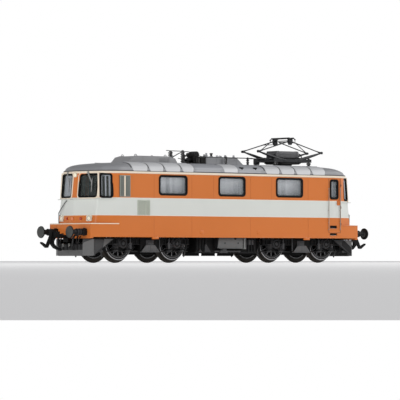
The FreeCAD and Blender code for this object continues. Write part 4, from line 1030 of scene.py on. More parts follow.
def busbar_details():
    w, i = Shape(), Shape()
    # roof conductor with its clamps, and bell caps on the posts
    for x, y in ((3.6, -8.0), (18.8, -5.2)):
        w.box(x - 0.5, x + 0.5, y - 0.42, y + 0.42, 46.28, 46.95, 0.1, 2)
        w.bolt((x, y, 46.95), (0, 0, 1), 0.2, 0.2)
        i.lathe([(0.9, 0), (0.9, 0.25), (0.6, 0.45), (0.6, 0.6)], (x, y, ROOF_Z), (0, 0, 1), 16)
    w.tube([(31.4, -5.2, 46.6), (32.4, -5.4, 46.7), (33.4, -6.2, 46.9), (34.2, -6.6, 46.95)], 0.2, 8, 4)
    w.box(33.6, 34.8, -6.95, -6.25, 46.7, 47.1, 0.08)
    w.done("conductor_clamps", "root", "wire", "black_metal")
    for x, y in ((-18.4, 3.9), (-17.9, -3.9)):
        i.lathe([(1.3, 0), (1.3, 0.3), (0.9, 0.5), (0.9, 0.7)], (x, y, ROOF_Z), (0, 0, 1), 18)
    for kx in (-1, 1):
        for s in (-1, 1):
            i.lathe([(1.15, 0), (1.15, 0.25), (0.8, 0.4), (0.8, 0.5)], (44.2 + kx * 9.9, s * 6.6, ROOF_Z), (0, 0, 1), 16)
    i.done("insulator_feet", "root", "insulator", "insulator")


roof_panels()
roof_details()
hump_details()
roof_box_details()
switch_details()
busbar_details()


# ------------------------------------------------------------------ body: gutter, surrounds, doors, grilles
def gutter():
    s, d, c = Shape(), Shape(), Shape()
    row = list(WALLS[1])
    line = plan_line(row, 0.0, 6)
    # rounded rain gutter just under the roof, and the dark gap above it
    s.sweep(line, (0, 0, 1), [(-0.25, -0.95), (0.1, -0.95), (0.28, -0.82), (0.34, -0.45), (0.3, -0.1), (0.1, 0.02), (-0.25, 0.02)])
    s.done("rain_gutter", "root", "cream", "livery", 50)
    d.sweep(line, (0, 0, 1), [(-0.3, 0.02), (0.1, 0.02), (0.1, 0.42), (-0.3, 0.42)])
    d.done("gutter_gap", "root", "seam", "roof_grey", 50)
    low = wall_at(28.0)
    w = plan_line([28.0] + low[1:], 0.0, 6)
    # bead where the paint changes, above and below the light band
    for z, name in ((27.85, "upper"), (20.43, "lower")):
        r = wall_at(z)
        b = Shape()
        b.sweep(plan_line([z] + r[1:], 0.0, 6), (0, 0, 1), [(-0.2, -0.11), (0.05, -0.11), (0.09, 0.0), (0.05, 0.11), (-0.2, 0.11)])
        b.done("band_bead_" + name, "root", "light_line", "livery", 60)


def ledge_beads():
    """Rounded edge on the wide lower ends: cream, a painted highlight of the edge, in front and along the side that has
    no door.
    """
    cream, orange = Shape(), Shape()
    prof = [(-0.3, -0.2), (0.12, -0.2), (0.2, -0.05), (0.2, 0.1), (0.1, 0.2), (-0.3, 0.2)]
    for turn in BOTH:
        cream.at = orange.at = turn
        # runs round the -X end from the far corner to the near side's wall, and on to the wall of the near side
        path = [(-77.15, 14.25), (-77.15, -14.25), (-64.1, -17.07)]
        pts = [Vector((x, y, 16.8)) for x, y in reversed(path)]
        # cream bead: painted highlight along the edge
        cream.sweep(pts, (0, 0, 1), prof, closed=False)
        orange.sweep([Vector((-77.15, 14.25, 16.8)), Vector((-64.1, 17.07, 16.8))], (0, 0, 1), prof, closed=False)
        # buffer beam: rivet rows, edge strips and step plates
        for y in (-13.2, -10.0, -6.8, 6.8, 10.0, 13.2):
            for z in (11.5, 15.7):
                orange.bolt((-77.15, y, z), (-1, 0, 0), 0.24, 0.14)
        orange.box(-77.4, -77.1, -14.2, 14.2, 10.5, 10.85, 0.08)
        orange.box(-77.35, -77.1, -14.25, -13.95, 10.6, 16.7, 0.06)
        orange.box(-77.35, -77.1, 13.95, 14.25, 10.6, 16.7, 0.06)
    cream.at = orange.at = Matrix.Identity(4)
    cream.done("ledge_highlight_bead", "root", "cream", "livery", 50)
    orange.done("beam_trim", "root", "orange", "livery", 50)


def windscreens():
    white, black, wiper, rail = Shape(), Shape(), Shape(), Shape()
    for turn in BOTH:
        f, ff, t, tf = (turn @ m for m in (FRONT, FRONT_FAR, TAPER, TAPER_FAR))
        for m, x0, x1 in ((f, 1.75, 13.35), (ff, FRONT_LEN - 13.35, FRONT_LEN - 1.75)):
            frame_ring(white, m, x0, x1, -0.4, 11.1, 1.7, 0.52, 0.34)
            frame_ring(black, m, x0 + 0.45, x1 - 0.45, 0.05, 10.65, 1.35, 0.75, 0.22)
        for m, x0, x1, z0 in ((t, 0.5, 6.75, -0.1), (tf, TAPER_LEN - 4.95, TAPER_LEN - 0.45, 0.2)):
            frame_ring(black, m, x0, x1, z0, 10.8, 1.4, 0.75, 0.24)
        # white strip that joins the two surrounds at the corner
        for m, x0, x1 in ((t, -0.15, 0.55), (tf, TAPER_LEN - 0.55, TAPER_LEN + 0.15)):
            white.at = m
            white.box(x0, x1, -0.3, 0.1, -0.2, 10.9, 0.14, 2)
        # grab rail below the windows, on small feet
        rail.at = turn
        z = 27.35
        r = wall_at(z)
        line = [Vector((-r[2] - 1.5, -r[1] + 0.32, z)), Vector((-r[3] - 0.35, -r[4] - 0.75, z)), Vector((-r[3] - 0.95, -r[4] + 0.5, z)),
                Vector((-r[5] - 0.6, -0.6, z)), Vector((-r[5] - 0.6, 0.6, z)), Vector((-r[3] - 0.95, r[4] - 0.5, z)),
                Vector((-r[3] - 0.35, r[4] + 0.75, z)), Vector((-r[2] - 1.5, r[1] - 0.32, z))]
        rail.tube(line, 0.15, 6, 4)
        for k in (1, 2, 3, 5, 6):
            p = line[k]
            inner = p * 0.984
            rail.rod((p.x, p.y, z), (inner.x, inner.y, z), 0.12, 6)
        # wipers: spindle, arm and blade, one on each screen
        for m, x_top, side in ((f, 7.2, 1), (ff, FRONT_LEN - 7.2, 1)):
            wiper.at = m
            wiper.lathe([(0.5, 0), (0.5, 0.3), (0.3, 0.5), (0, 0.55)], (x_top, -0.3, 11.0), (0, -1, 0), 12)
            wiper.tube([(x_top, -0.65, 11.0), (x_top + 0.9, -0.85, 9.4), (x_top + 2.5, -0.72, 6.6)], [0.26, 0.22, 0.16], 6, 4)
            wiper.tube([(x_top + 0.35, -0.7, 11.0), (x_top + 1.3, -0.82, 9.2), (x_top + 2.7, -0.7, 6.4)], 0.11, 6, 4)
            wiper.box(x_top + 2.42, x_top + 2.68, -0.66, -0.3, 2.6, 8.6, 0.06)
            wiper.box(x_top + 2.34, x_top + 2.76, -0.78, -0.6, 5.4, 7.4, 0.06)
    for s in (white, black, wiper, rail):
        s.at = Matrix.Identity(4)
    white.done("screen_surrounds", "root", "cream", "livery", 45)
    black.done("screen_seals", "root", "rubber", "black_rubber", 45)
    wiper.done("wipers", "root", "pale_metal", "black_metal", 45)
    rail.done("front_grab_rails", "root", "light", "livery", 50)


def side_seals():
    s = Shape()
    for turn in BOTH:
        m = turn @ SIDE
        for x0, x1, z0, z1, rad in ((-42.06, -26.18, 29.25, 37.85, 1.5), (-8.37, 7.15, 29.25, 37.85, 1.5),
                                    (25.23, 41.23, 29.25, 37.85, 1.5), (57.60, 62.75, 28.7, 37.6, 1.2)):
            frame_ring(s, m, x0 - 0.12, x1 + 0.12, z0 - 0.12, z1 + 0.12, rad + 0.1, 0.75, 0.22, 0.2, 0.1)
    s.done("side_window_seals", "root", "rubber", "black_rubber", 45)


def inner_linings():
    """Ribbed lining behind the side glass, with a rolled blind at the top."""
    s, b = Shape(), Shape()
    for turn in BOTH:
        s.at = b.at = turn
        for x0, x1 in ((-42.06, -26.18), (-8.37, 7.15), (25.23, 41.23)):
            n = 26
            x0, x1 = x0 - 0.6, x1 + 0.6
            pts = []
            for k in range(n * 2 + 1):
                x = x0 + (x1 - x0) * k / (n * 2)
                pts.append((x, -15.05 - (0.16 if k % 2 else 0.0)))
            outline = pts + [(x1, -14.75), (x0, -14.75)]
            s.prism(outline, 28.4, 38.0, "xy", 0.0)
            b.tube([(x0, -15.4, 38.0), ((x0 + x1) / 2, -15.4, 38.0), (x1, -15.4, 38.0)], 0.42, 10, 3)
            b.box(x0, x1, -15.5, -15.3, 37.2, 38.0, 0.05)
        # door lining
        s.box(57.2, 63.2, -15.4, -15.1, 28.2, 38.0, 0.1)
        b.box(60.7, 62.4, -15.9, -15.6, 28.6, 37.8, 0.1)
    s.at = b.at = Matrix.Identity(4)
    s.done("window_linings", "root", "lining", "cab_grey", 25)
    b.done("window_blinds", "root", "cab", "cab_grey", 40)


def doors():
    gap, metal, box, step = Shape(), Shape(), Shape(), Shape()
    for turn in BOTH:
        for s in (gap, metal, box, step):
            s.at = turn
        y = -17.07
        x0, x1 = 57.0, 63.94
        # gap round the leaf, hinges and kick plate
        for a, b in ((x0 - 0.14, x0 + 0.06), (x1 - 0.06, x1 + 0.14)):
            gap.box(a, b, y - 0.06, y + 0.1, 13.6, 38.1, 0.03)
        gap.box(x0, x1, y - 0.06, y + 0.1, 13.5, 13.7, 0.03)
        for z in (17.5, 25.0, 35.0):
            gap.rod((x1 + 0.35, y - 0.12, z - 0.5), (x1 + 0.35, y - 0.12, z + 0.5), 0.2, 8)
        # handrails on feet at both sides of the door
        for x in (x0 - 0.42, x1 - 0.35):
            metal.tube([(x, y + 0.2, 15.0), (x, y - 0.5, 15.25), (x, y - 0.62, 16.2), (x, y - 0.62, 32.4), (x, y - 0.5, 33.4), (x, y + 0.2, 33.6)],
                       0.125, 8, 3)
            for z in (18.2, 23.6, 28.8):
                metal.rod((x, y + 0.1, z), (x, y - 0.6, z), 0.13, 6)
        # lock case and handle
        box.box(x1 - 2.05, x1 - 0.2, y - 0.42, y + 0.1, 26.0, 28.0, 0.16, 2)
        box.tube([(x1 - 1.2, y - 0.4, 27.2), (x1 - 1.2, y - 0.75, 27.2), (x1 - 2.0, y - 0.8, 27.15), (x1 - 2.4, y - 0.72, 27.1)], 0.17, 7, 4)
        # steps: dark recess with a bright tread plate
        for z0, z1 in ((15.47, 16.8), (12.3, 13.4)):
            step.box(57.5, 62.05, y + 0.34, y + 0.7, z0 - 0.1, z1 + 0.1, 0.05)
            metal.box(57.7, 61.85, y - 0.02, y + 0.5, z0 + 0.02, z0 + 0.18, 0.05)
            for k in range(7):
                metal.box(57.95 + k * 0.56, 58.15 + k * 0.56, y + 0.02, y + 0.3, z0 + 0.17, z0 + 0.22, 0.02)
            frame_ring(box, turn @ SIDE, 57.35, 62.2, z0 - 0.25, z1 + 0.25, 0.3, 0.25, 0.12, 0.1, 0.05)
            box.at = turn
    for s in (gap, metal, box, step):
        s.at = Matrix.Identity(4)
    gap.done("door_gaps", "root", "gap_line", "livery")
    metal.done("door_handrails", "root", "rail_grey", "black_metal", 50)
    box.done("door_lock_cases", "root", "orange", "livery", 45)
    step.done("step_recesses", "root", "rubber", "black_plastic")


def corner_handrails():
    s = Shape()
    for turn in BOTH:
        s.at = turn
        s.tube([(-74.0, 11.6, 16.85), (-74.45, 11.6, 17.3), (-74.45, 11.6, 20.9), (-74.45, 11.25, 22.0), (-74.5, 7.0, 26.2), (-74.4, 6.6, 26.6), (-73.9, 6.5, 26.65)],
               0.19, 7, 4)
        s.rod((-74.45, 11.6, 20.4), (-73.4, 11.5, 20.4), 0.14, 6)
    s.at = Matrix.Identity(4)
    s.done("corner_handrails", "root", "wire", "black_metal", 50)


def grilles():
    dark, bars, strip, pale, back = Shape(), Shape(), Shape(), Shape(), Shape()
    for turn in BOTH:
        m = turn @ SIDE
        # upright grille beside the cab, with a pale bar down its middle
        x0, x1, z0, z1 = -63.75, -58.0, 28.3, 37.5
        dark.at = m
        dark.box(x0, x1, -0.1, 0.2, z0, z1, 0.05)
        frame_ring(bars, m, x0, x1, z0, z1, 0.25, 0.36, 0.24, 0.1, 0.07)
        slats(bars, m @ placed(0, -0.08, 0), x0 + 0.35, x1 - 0.35, z0 + 0.3, z1 - 0.3, 0.5, 0.16, True)
        pale.at = m
        xm = -61.05
        pale.box(xm - 0.36, xm + 0.36, -0.34, 0.0, z0 + 0.2, z1 - 0.2, 0.08)
        # low ventilator on the light band
        x0, x1, z0, z1 = -54.1, -47.1, 20.45, 27.05
        frame_ring(strip, m, x0, x1, z0, z1, 0.25, 0.3, 0.2, 0.1, 0.06)
        slats(strip, m, x0 + 0.25, x1 - 0.25, z0 + 0.25, z1 - 0.25, 0.5, 0.2, True)
        strip.at = m
        strip.box(x0 + 4.3, x0 + 4.62, -0.34, 0.0, z0 + 0.2, z1 - 0.2, 0.05)
        back.at = m
        back.box(x0 + 0.2, x1 - 0.2, -0.05, 0.1, z0 + 0.2, z1 - 0.2, 0.02)
    for s in (dark, bars, strip, pale, back):
        s.at = Matrix.Identity(4)
    dark.done("cab_grille_backs", "root", "seam", "livery")
    bars.done("cab_grilles", "root", "grille", "livery", 30)
    pale.done("cab_grille_bars", "root", "cream", "livery")
    strip.done("low_grilles", "root", "grille_pale", "livery", 30)
    back.done("low_grille_backs", "root", "grille_low", "livery", 30)


def side_panels():
    """Thin joints between the wall's sheets, jacking pads and small hatches."""
    s, o = Shape(), Shape()
    for turn in BOTH:
        s.at = o.at = turn
        y = -17.07
        for x in (-44.8, -23.6, -11.2, 10.2, 22.6, 44.4):
            s.box(x - 0.05, x + 0.05, y - 0.035, y + 0.1, 28.1, 38.1, 0.0)
        for x in (-44.8, -23.6, 10.2, 44.4):
            s.box(x - 0.05, x + 0.05, y - 0.035, y + 0.1, 11.3, 20.2, 0.0)
        # lower edge bead, lifting pads and socket covers
        o.box(-64.0, 64.0, y - 0.12, y + 0.2, 11.05, 11.4, 0.08)
        for x in (-44.0, 43.6):
            o.box(x - 1.7, x + 1.7, y - 0.25, y + 0.6, 10.25, 11.3, 0.12)
        for x in (-18.0, 15.0):
            o.box(x - 1.1, x + 1.1, y - 0.14, y + 0.1, 12.6, 14.2, 0.1)
    s.at = o.at = Matrix.Identity(4)
    s.done("sheet_joints", "root", "joint_orange", "livery")
    o.done("lower_edge_trim", "root", "orange", "livery", 45)


def lamps():
    ring, lens, chrome, tail, cap = Shape(), Shape(), Shape(), Shape(), Shape()
    lo2, hi2 = wall_at(17.0), wall_at(20.6)
    near = wall_plane((-lo2[5], 0, 17.0), (-lo2[3], -lo2[4], 17.0), (-hi2[3], -hi2[4], 20.6))
    far = wall_plane((-lo2[3], lo2[4], 17.0), (-lo2[5], 0, 17.0), (-hi2[5], 0, 20.6))
    length = math.hypot(lo2[5] - lo2[3], lo2[4])
    for turn in BOTH:
        for m, c, t in ((near, 9.7, 4.9), (far, length - 9.7, length - 4.9)):
            frame_ring(ring, turn @ m, c - 1.5, c + 1.5, 0.75, 3.3, 0.45, 0.42, 0.6, 0.1, 0.12)
            lens.at = chrome.at = tail.at = turn @ m
            chrome.lathe([(1.1, 0), (1.1, 0.18), (0.92, 0.2), (0.8, 0.1)], (c, -0.43, 2.0), (0, -1, 0), 24)
            lens.lathe([(0.9, 0.05), (0.86, 0.12), (0.6, 0.2), (0.3, 0.25), (0, 0.27)], (c, -0.45, 2.0), (0, -1, 0), 24)
            tail.lathe([(0.62, 0), (0.62, 0.36), (0.5, 0.44), (0.25, 0.5), (0, 0.52)], (t, -0.05, 2.0), (0, -1, 0), 18)
        ring.at = lens.at = chrome.at = turn
        x = wall_at(37.7)[5]
        ring.lathe([(1.05, -0.2), (1.05, 0.3), (0.95, 0.42), (0.85, 0.36)], (-x, 0, 37.7), (-1, 0, 0), 24)
        cap.at = turn
        cap.lathe([(0.75, -0.2), (0.75, 0.2), (0.6, 0.3), (0.2, 0.34), (0, 0.34)], (-wall_at(19.0)[5], 0, 19.0), (-1, 0, 0), 20)
        cap.at = Matrix.Identity(4)
        lens.lathe([(0.85, 0.3), (0.7, 0.42), (0.4, 0.5), (0, 0.52)], (-x, 0, 37.7), (-1, 0, 0), 24)
    for s in (ring, lens, chrome):
        s.at = Matrix.Identity(4)
    ring.done("lamp_bezels", "root", "cream", "livery", 45)
    lens.done("lamp_lenses", "root", "lamp", "lamp_lens", 50)
    chrome.done("lamp_rims", "root", "chrome", "tyre_steel", 45)
    tail.at = Matrix.Identity(4)
    tail.done("tail_lamp_lenses", "root", "red", "red_lens", 45)
    cap.done("socket_covers", "root", "socket", "livery", 45)


def cab_reflection_sheets():
    """Sheets shaped as sun blinds just inside the cab glass on one side of each end, pale as a painted reflection of
    that glass, and posts just inside the cab glass on the other side.
    """
    pale, mid, post = Shape(), Shape(), Shape()
    for turn in BOTH:
        # pale sheet inside the taper window: painted reflection of the glass
        pale.at = turn @ TAPER_FAR
        pale.box(TAPER_LEN - 4.6, TAPER_LEN - 0.7, 0.62, 0.8, 0.6, 10.5, 0.06)
        for k in range(4):
            pale.box(TAPER_LEN - 4.4 + k, TAPER_LEN - 4.2 + k, 0.56, 0.66, 0.9, 10.2, 0.03)
        # grey sheet with a roller inside the windscreen: painted reflection of the glass
        mid.at = turn @ FRONT_FAR
        mid.box(FRONT_LEN - 12.9, FRONT_LEN - 3.0, 1.0, 1.2, 0.7, 10.1, 0.08)
        mid.rod((FRONT_LEN - 12.9, 0.95, 10.0), (FRONT_LEN - 3.0, 0.95, 10.0), 0.3, 10)
        post.at = turn @ TAPER
        for x, w in ((1.7, 0.42), (3.6, 0.3), (5.35, 0.4)):
            post.box(x - w, x + w, 1.0, 1.3, 0.4, 10.3, 0.08)
        post.rod((0.8, 1.1, 9.6), (6.4, 1.1, 9.6), 0.2, 8)
    for w in (pale, mid, post):
        w.at = Matrix.Identity(4)
    pale.done("cab_reflection_sheets_pale", "root", "pale_reflection_and_posts", "cab_grey", 40)
    mid.done("cab_reflection_sheets", "root", "reflection_sheet_mid", "cab_grey", 40)
    post.done("cab_posts", "root", "pale_reflection_and_posts", "cab_grey", 40)


gutter()
cab_reflection_sheets()
ledge_beads()
windscreens()
side_seals()
inner_linings()
doors()
corner_handrails()
grilles()
side_panels()
lamps()


# ------------------------------------------------------------------ pantograph
PX, SHAFT_X, SHAFT_Z, LOWER, UPPER = 44.2, 4.5, 46.2, 15.2, 19.89
LOW_A, UP_A = math.radians(14.5), math.radians(15.0)
ELBOW_X, ELBOW_Z = SHAFT_X + LOWER * math.cos(LOW_A), SHAFT_Z + LOWER * math.sin(LOW_A)
APEX_Z = ELBOW_Z + UPPER * math.sin(UP_A)


def pantograph_arms():
    for tag, k, uy, gap in (("a", -1, 5.75, 0.0), ("b", 1, 4.5, 1.7)):
        low, up = Shape(), Shape()
        sx, ex = PX + k * SHAFT_X, PX + k * ELBOW_X
        d = Vector((ex - sx, 0, ELBOW_Z - SHAFT_Z)).normalized()
        for s in (-1, 1):
            # thicker sleeve on each lower tube, with cast ends
            p0, p1 = Vector((sx, s * 5.15, SHAFT_Z)), Vector((ex, s * 5.15, ELBOW_Z))
            low.tube([p0 + d * 0.2, p0 + d * 1.6, p0 + d * 8.5, p1 - d * 3.2, p1 - d * 2.2], [0.74, 0.72, 0.6, 0.46, 0.38], 10, 1)
            low.lathe([(0.8, -0.45), (0.8, 0.35), (0.6, 0.45)], (sx, s * 5.15, SHAFT_Z), (0, s, 0), 16)
            low.lathe([(0.62, 0), (0.62, 0.12), (0.35, 0.2), (0, 0.2)], (sx, s * 6.9, SHAFT_Z), (0, s, 0), 14)
            # nut at the elbow, outside of the joint
            y_end = s * (5.42 if uy < 5.15 else 4.88)
            low.lathe([(0.42, 0), (0.42, 0.12), (0.25, 0.2), (0, 0.2)], (ex, y_end - (0.06 * s if uy < 5.15 else -0.06 * s), ELBOW_Z),
                      (0, s if uy < 5.15 else -s, 0), 12)
        # two collars on the cross shaft
        low.lathe([(0.42, 0), (0.62, 0.2), (0.62, 0.9), (0.42, 1.1)], (sx, -4.4, SHAFT_Z), (0, 1, 0), 12)
        low.lathe([(0.42, 0), (0.62, 0.2), (0.62, 0.9), (0.42, 1.1)], (sx, 3.3, SHAFT_Z), (0, 1, 0), 12)
        low.done("lower_arm_sleeves_" + tag, "lower_arm_" + tag, "wire", "black_metal", 45)
        u = Vector((PX - ex, 0, APEX_Z - ELBOW_Z)).normalized()
        for s in (-1, 1):
            p0 = Vector((ex, s * uy, ELBOW_Z))
            up.tube([p0 + u * 0.2, p0 + u * 1.3, p0 + u * 2.4], [0.4, 0.36, 0.26], 8, 1)
            q = p0 + u * (UPPER - gap)
            up.tube([q - u * 2.0, q - u * 1.2, q - u * 0.3], [0.26, 0.33, 0.36], 8, 1)
            up.lathe([(0.5, 0), (0.5, 0.1), (0.28, 0.2), (0, 0.2)], (ex, s * (uy + (0.2 if uy > 5.15 else -0.2)), ELBOW_Z),
                     (0, s if uy > 5.15 else -s, 0), 12)
        if k < 0:
            # stay between the tubes, halfway up
            p = Vector((ex, 0, ELBOW_Z)) + u * 12.6
            up.rod((p.x, -uy, p.z), (p.x, uy, p.z), 0.16, 8)
        up.done("upper_arm_ends_" + tag, "upper_arm_" + tag, "wire", "black_metal", 45)


def pantograph_head():
    s, c = Shape(), Shape()
    for y in (-1, 1):
        # spring boxes under the collector strips, with rocker and coil springs
        s.box(PX - 1.2, PX + 1.2, y * 4.84, y * 5.40, APEX_Z - 1.0, APEX_Z + 0.55, 0.14, 2)
        s.box(PX - 0.9, PX + 0.9, y * 4.86, y * 5.38, APEX_Z - 1.9, APEX_Z - 0.9, 0.12, 2)
        s.lathe([(0.7, -0.12), (0.7, 0.1), (0.4, 0.2), (0, 0.2)], (PX, y * 5.42, APEX_Z - 0.05), (0, y, 0), 16)
        for k in (-1, 1):
            s.spring((PX + k * 1.25, y * 5.12, APEX_Z - 0.85), (0, 0, 1), 0.3, 1.9, 5, 0.09)
            s.rod((PX + k * 1.25, y * 5.12, APEX_Z - 1.0), (PX + k * 1.25, y * 5.12, APEX_Z + 1.15), 0.12, 6)
            s.rod((PX + k * 0.7, y * 5.12, APEX_Z - 1.9), (PX + k * 1.3, y * 5.12, APEX_Z - 1.0), 0.14, 6)
        s.box(PX - 1.5, PX + 1.5, y * 4.9, y * 5.34, APEX_Z - 1.18, APEX_Z - 0.9, 0.06)
    # collector strips: worn carbon on a holder, with rounded shoulders and down-turned horns
    for k in (-1, 1):
        x = PX + k * 1.15
        s.prism([(-5.9, 56.0), (5.9, 56.0), (6.0, 56.2), (5.6, 56.38), (-5.6, 56.38), (-6.0, 56.2)], x - 0.3, x + 0.3, "yz", 0.03)
        c.prism([(-5.3, 56.36), (5.3, 56.36), (5.1, 56.58), (-5.1, 56.58)], x - 0.22, x + 0.22, "yz", 0.03)
        for y in (-1, 1):
            s.tube([(x, y * 5.5, 56.2), (x, y * 6.3, 56.15), (x, y * 7.0, 55.4), (x, y * 7.32, 54.3)], [0.2, 0.19, 0.16, 0.13], 7, 4)
            s.bolt((x, y * 4.2, 56.02), (0, 0, -1), 0.16, 0.14)
    for y in (-5.1, 5.1):
        s.box(PX - 1.4, PX + 1.4, y - 0.22, y + 0.22, 55.75, 56.05, 0.06)
    s.done("collector_head_parts", "pantograph_head", "wire", "black_metal", 45)
    c.done("collector_strips", "pantograph_head", "pale_metal", "black_metal", 45)


def pantograph_base():
    s, box, pan, ins = Shape(), Shape(), Shape(), Shape()
    # cover over the drive: rounded, with a rim, ribs and end caps
    box.prism([(-6.75, 47.9), (-6.75, 49.9), (-6.1, 50.42), (6.1, 50.42), (6.75, 49.9), (6.75, 47.9), (6.3, 47.35), (-6.3, 47.35)],
              -3.5, 3.5, "xz", 0.28, 3)
    o = Matrix.Translation((PX, 0, 0))
    for v in box.bm.verts:
        v.co = o @ v.co
    for x in (-5.4, 5.4):
        box.box(PX + x - 0.16, PX + x + 0.16, -3.62, 3.62, 47.5, 50.5, 0.08)
    box.box(PX - 6.5, PX + 6.5, -3.64, -3.4, 48.9, 49.15, 0.06)
    box.box(PX - 6.5, PX + 6.5, 3.4, 3.64, 48.9, 49.15, 0.06)
    for x in (-4.2, -1.4, 1.4, 4.2):
        for y in (-3.5, 3.5):
            box.bolt((PX + x, y, 48.3), (0, math.copysign(1, y), 0), 0.2, 0.14)
    box.done("drive_cover", "root", "drive", "dark_metal", 40)
    # pan between the base rails, reaching down to the roof
    pan.prism([(-6.6, 46.1), (-6.0, 44.9), (-5.0, 44.45), (5.0, 44.45), (6.0, 44.9), (6.6, 46.1)], -5.7, 5.7, "xz", 0.2, 2)
    pan.prism([(-3.6, 44.5), (-3.0, 43.5), (3.0, 43.5), (3.6, 44.5)], -2.6, 2.6, "xz", 0.15)
    for v in pan.bm.verts:
        v.co = o @ v.co
    for x in (-5.2, -3.4, -1.6, 0.2, 2.0, 3.8, 5.4):
        pan.box(PX + x, PX + x + 0.3, -5.86, 5.86, 44.8, 46.0, 0.05)
    pan.done("base_pan", "root", "soot", "black_metal", 40)
    # lifting springs, air cylinder, rods and dampers between the rails
    for y in (-4.3, 4.3):
        for k in (-1, 1):
            s.spring((PX + k * 4.0, y, 46.95), (k, 0, 0), 0.52, 5.4, 11, 0.13)
            s.rod((PX + k * 3.4, y, 46.95), (PX + k * 10.4, y, 46.75), 0.2, 8)
    s.lathe([(0, 0), (0.85, 0.0), (1.0, 0.2), (1.0, 5.4), (0.85, 5.6), (0.4, 5.7), (0.4, 7.2), (0, 7.2)], (PX - 10.6, -1.6, 46.8), (1, 0, 0), 18)
    s.lathe([(0, 0), (0.7, 0.0), (0.85, 0.2), (0.85, 4.6), (0.7, 4.8), (0.3, 4.9), (0.3, 6.0), (0, 6.0)], (PX + 10.4, 2.2, 46.8), (-1, 0, 0), 18)
    for x in (-8.9, -7.6, 7.4, 8.8):
        s.box(PX + x - 0.3, PX + x + 0.3, -6.2, 6.2, 45.5, 46.0, 0.08)
    for y in (-2.9, 0.4, 2.9):
        s.rod((PX - 10.6, y, 46.1), (PX + 10.6, y, 46.1), 0.22, 8)
    s.tube([(PX + 6.9, -2.8, 49.4), (PX + 8.2, -2.9, 49.0), (PX + 8.9, -3.0, 47.6), (PX + 8.6, -3.0, 46.4)], 0.24, 7, 4)
    s.tube([(PX + 6.9, 1.6, 49.2), (PX + 8.6, 1.7, 48.6), (PX + 9.6, 1.8, 47.2), (PX + 9.4, 1.8, 46.2)], 0.24, 7, 4)
    s.tube([(PX - 6.9, -2.4, 49.0), (PX - 8.1, -2.5, 48.2), (PX - 8.8, -2.6, 47.0), (PX - 8.8, -2.6, 46.0)], 0.24, 7, 4)
    for x, y, z in ((7.9, -4.6, 46.5), (8.2, 4.6, 46.5), (-7.6, 4.6, 46.4)):
        s.lathe([(0.55, 0), (0.7, 0.2), (0.7, 0.8), (0.45, 1.1), (0.45, 1.5), (0, 1.6)], (PX + x, y, z - 0.9), (0, 0, 1), 14)
    s.box(PX + 6.7, PX + 7.9, -2.4, 2.4, 46.6, 48.8, 0.16, 2)
    s.box(PX - 7.9, PX - 6.7, -2.2, 2.2, 46.6, 48.4, 0.16, 2)
    # stops, bolts and gusset plates on the rails
    for y in (-1, 1):
        for x in (-10.6, -7.2, -2.2, 2.2, 7.2, 10.6):
            s.bolt((PX + x, y * 6.6, 46.8), (0, 0, 1), 0.26, 0.2)
        for x in (-SHAFT_X, SHAFT_X):
            s.box(PX + x - 1.2, PX + x + 1.2, y * 6.12, y * 7.08, 45.35, 46.2, 0.1)
            s.bolt((PX + x - 0.9, y * 7.05, 45.8), (0, y, 0), 0.18, 0.12)
            s.bolt((PX + x + 0.9, y * 7.05, 45.8), (0, y, 0), 0.18, 0.12)
        for x in (-10.0, 10.0):
            s.prism([(PX + x - 0.9, 46.3), (PX + x + 0.9, 46.3), (PX + x + 0.3, 47.3), (PX + x - 0.3, 47.3)], y * 6.3, y * 6.8, "xz", 0.08)
    s.box(PX - 11.4, PX - 9.4, 4.9, 7.2, 44.4, 46.9, 0.2, 2)
    s.lathe([(1.15, 0), (1.15, 0.4), (0.8, 0.6), (1.1, 0.8), (1.1, 1.1), (0.8, 1.3)], (PX - 10.3, 6.2, ROOF_Z), (0, 0, 1), 16)
    s.done("base_mechanism", "root", "wire", "black_metal", 42)
    for kx in (-1, 1):
        for y in (-1, 1):
            for z in (0.55, 1.15, 1.75):
                ins.lathe([(0.6, 0), (1.08, 0.1), (1.08, 0.2), (0.6, 0.38)], (PX + kx * 9.9, y * 6.6, ROOF_Z + z - 0.1), (0, 0, 1), 20)
    ins.done("foot_sheds", "root", "insulator", "insulator", 40)


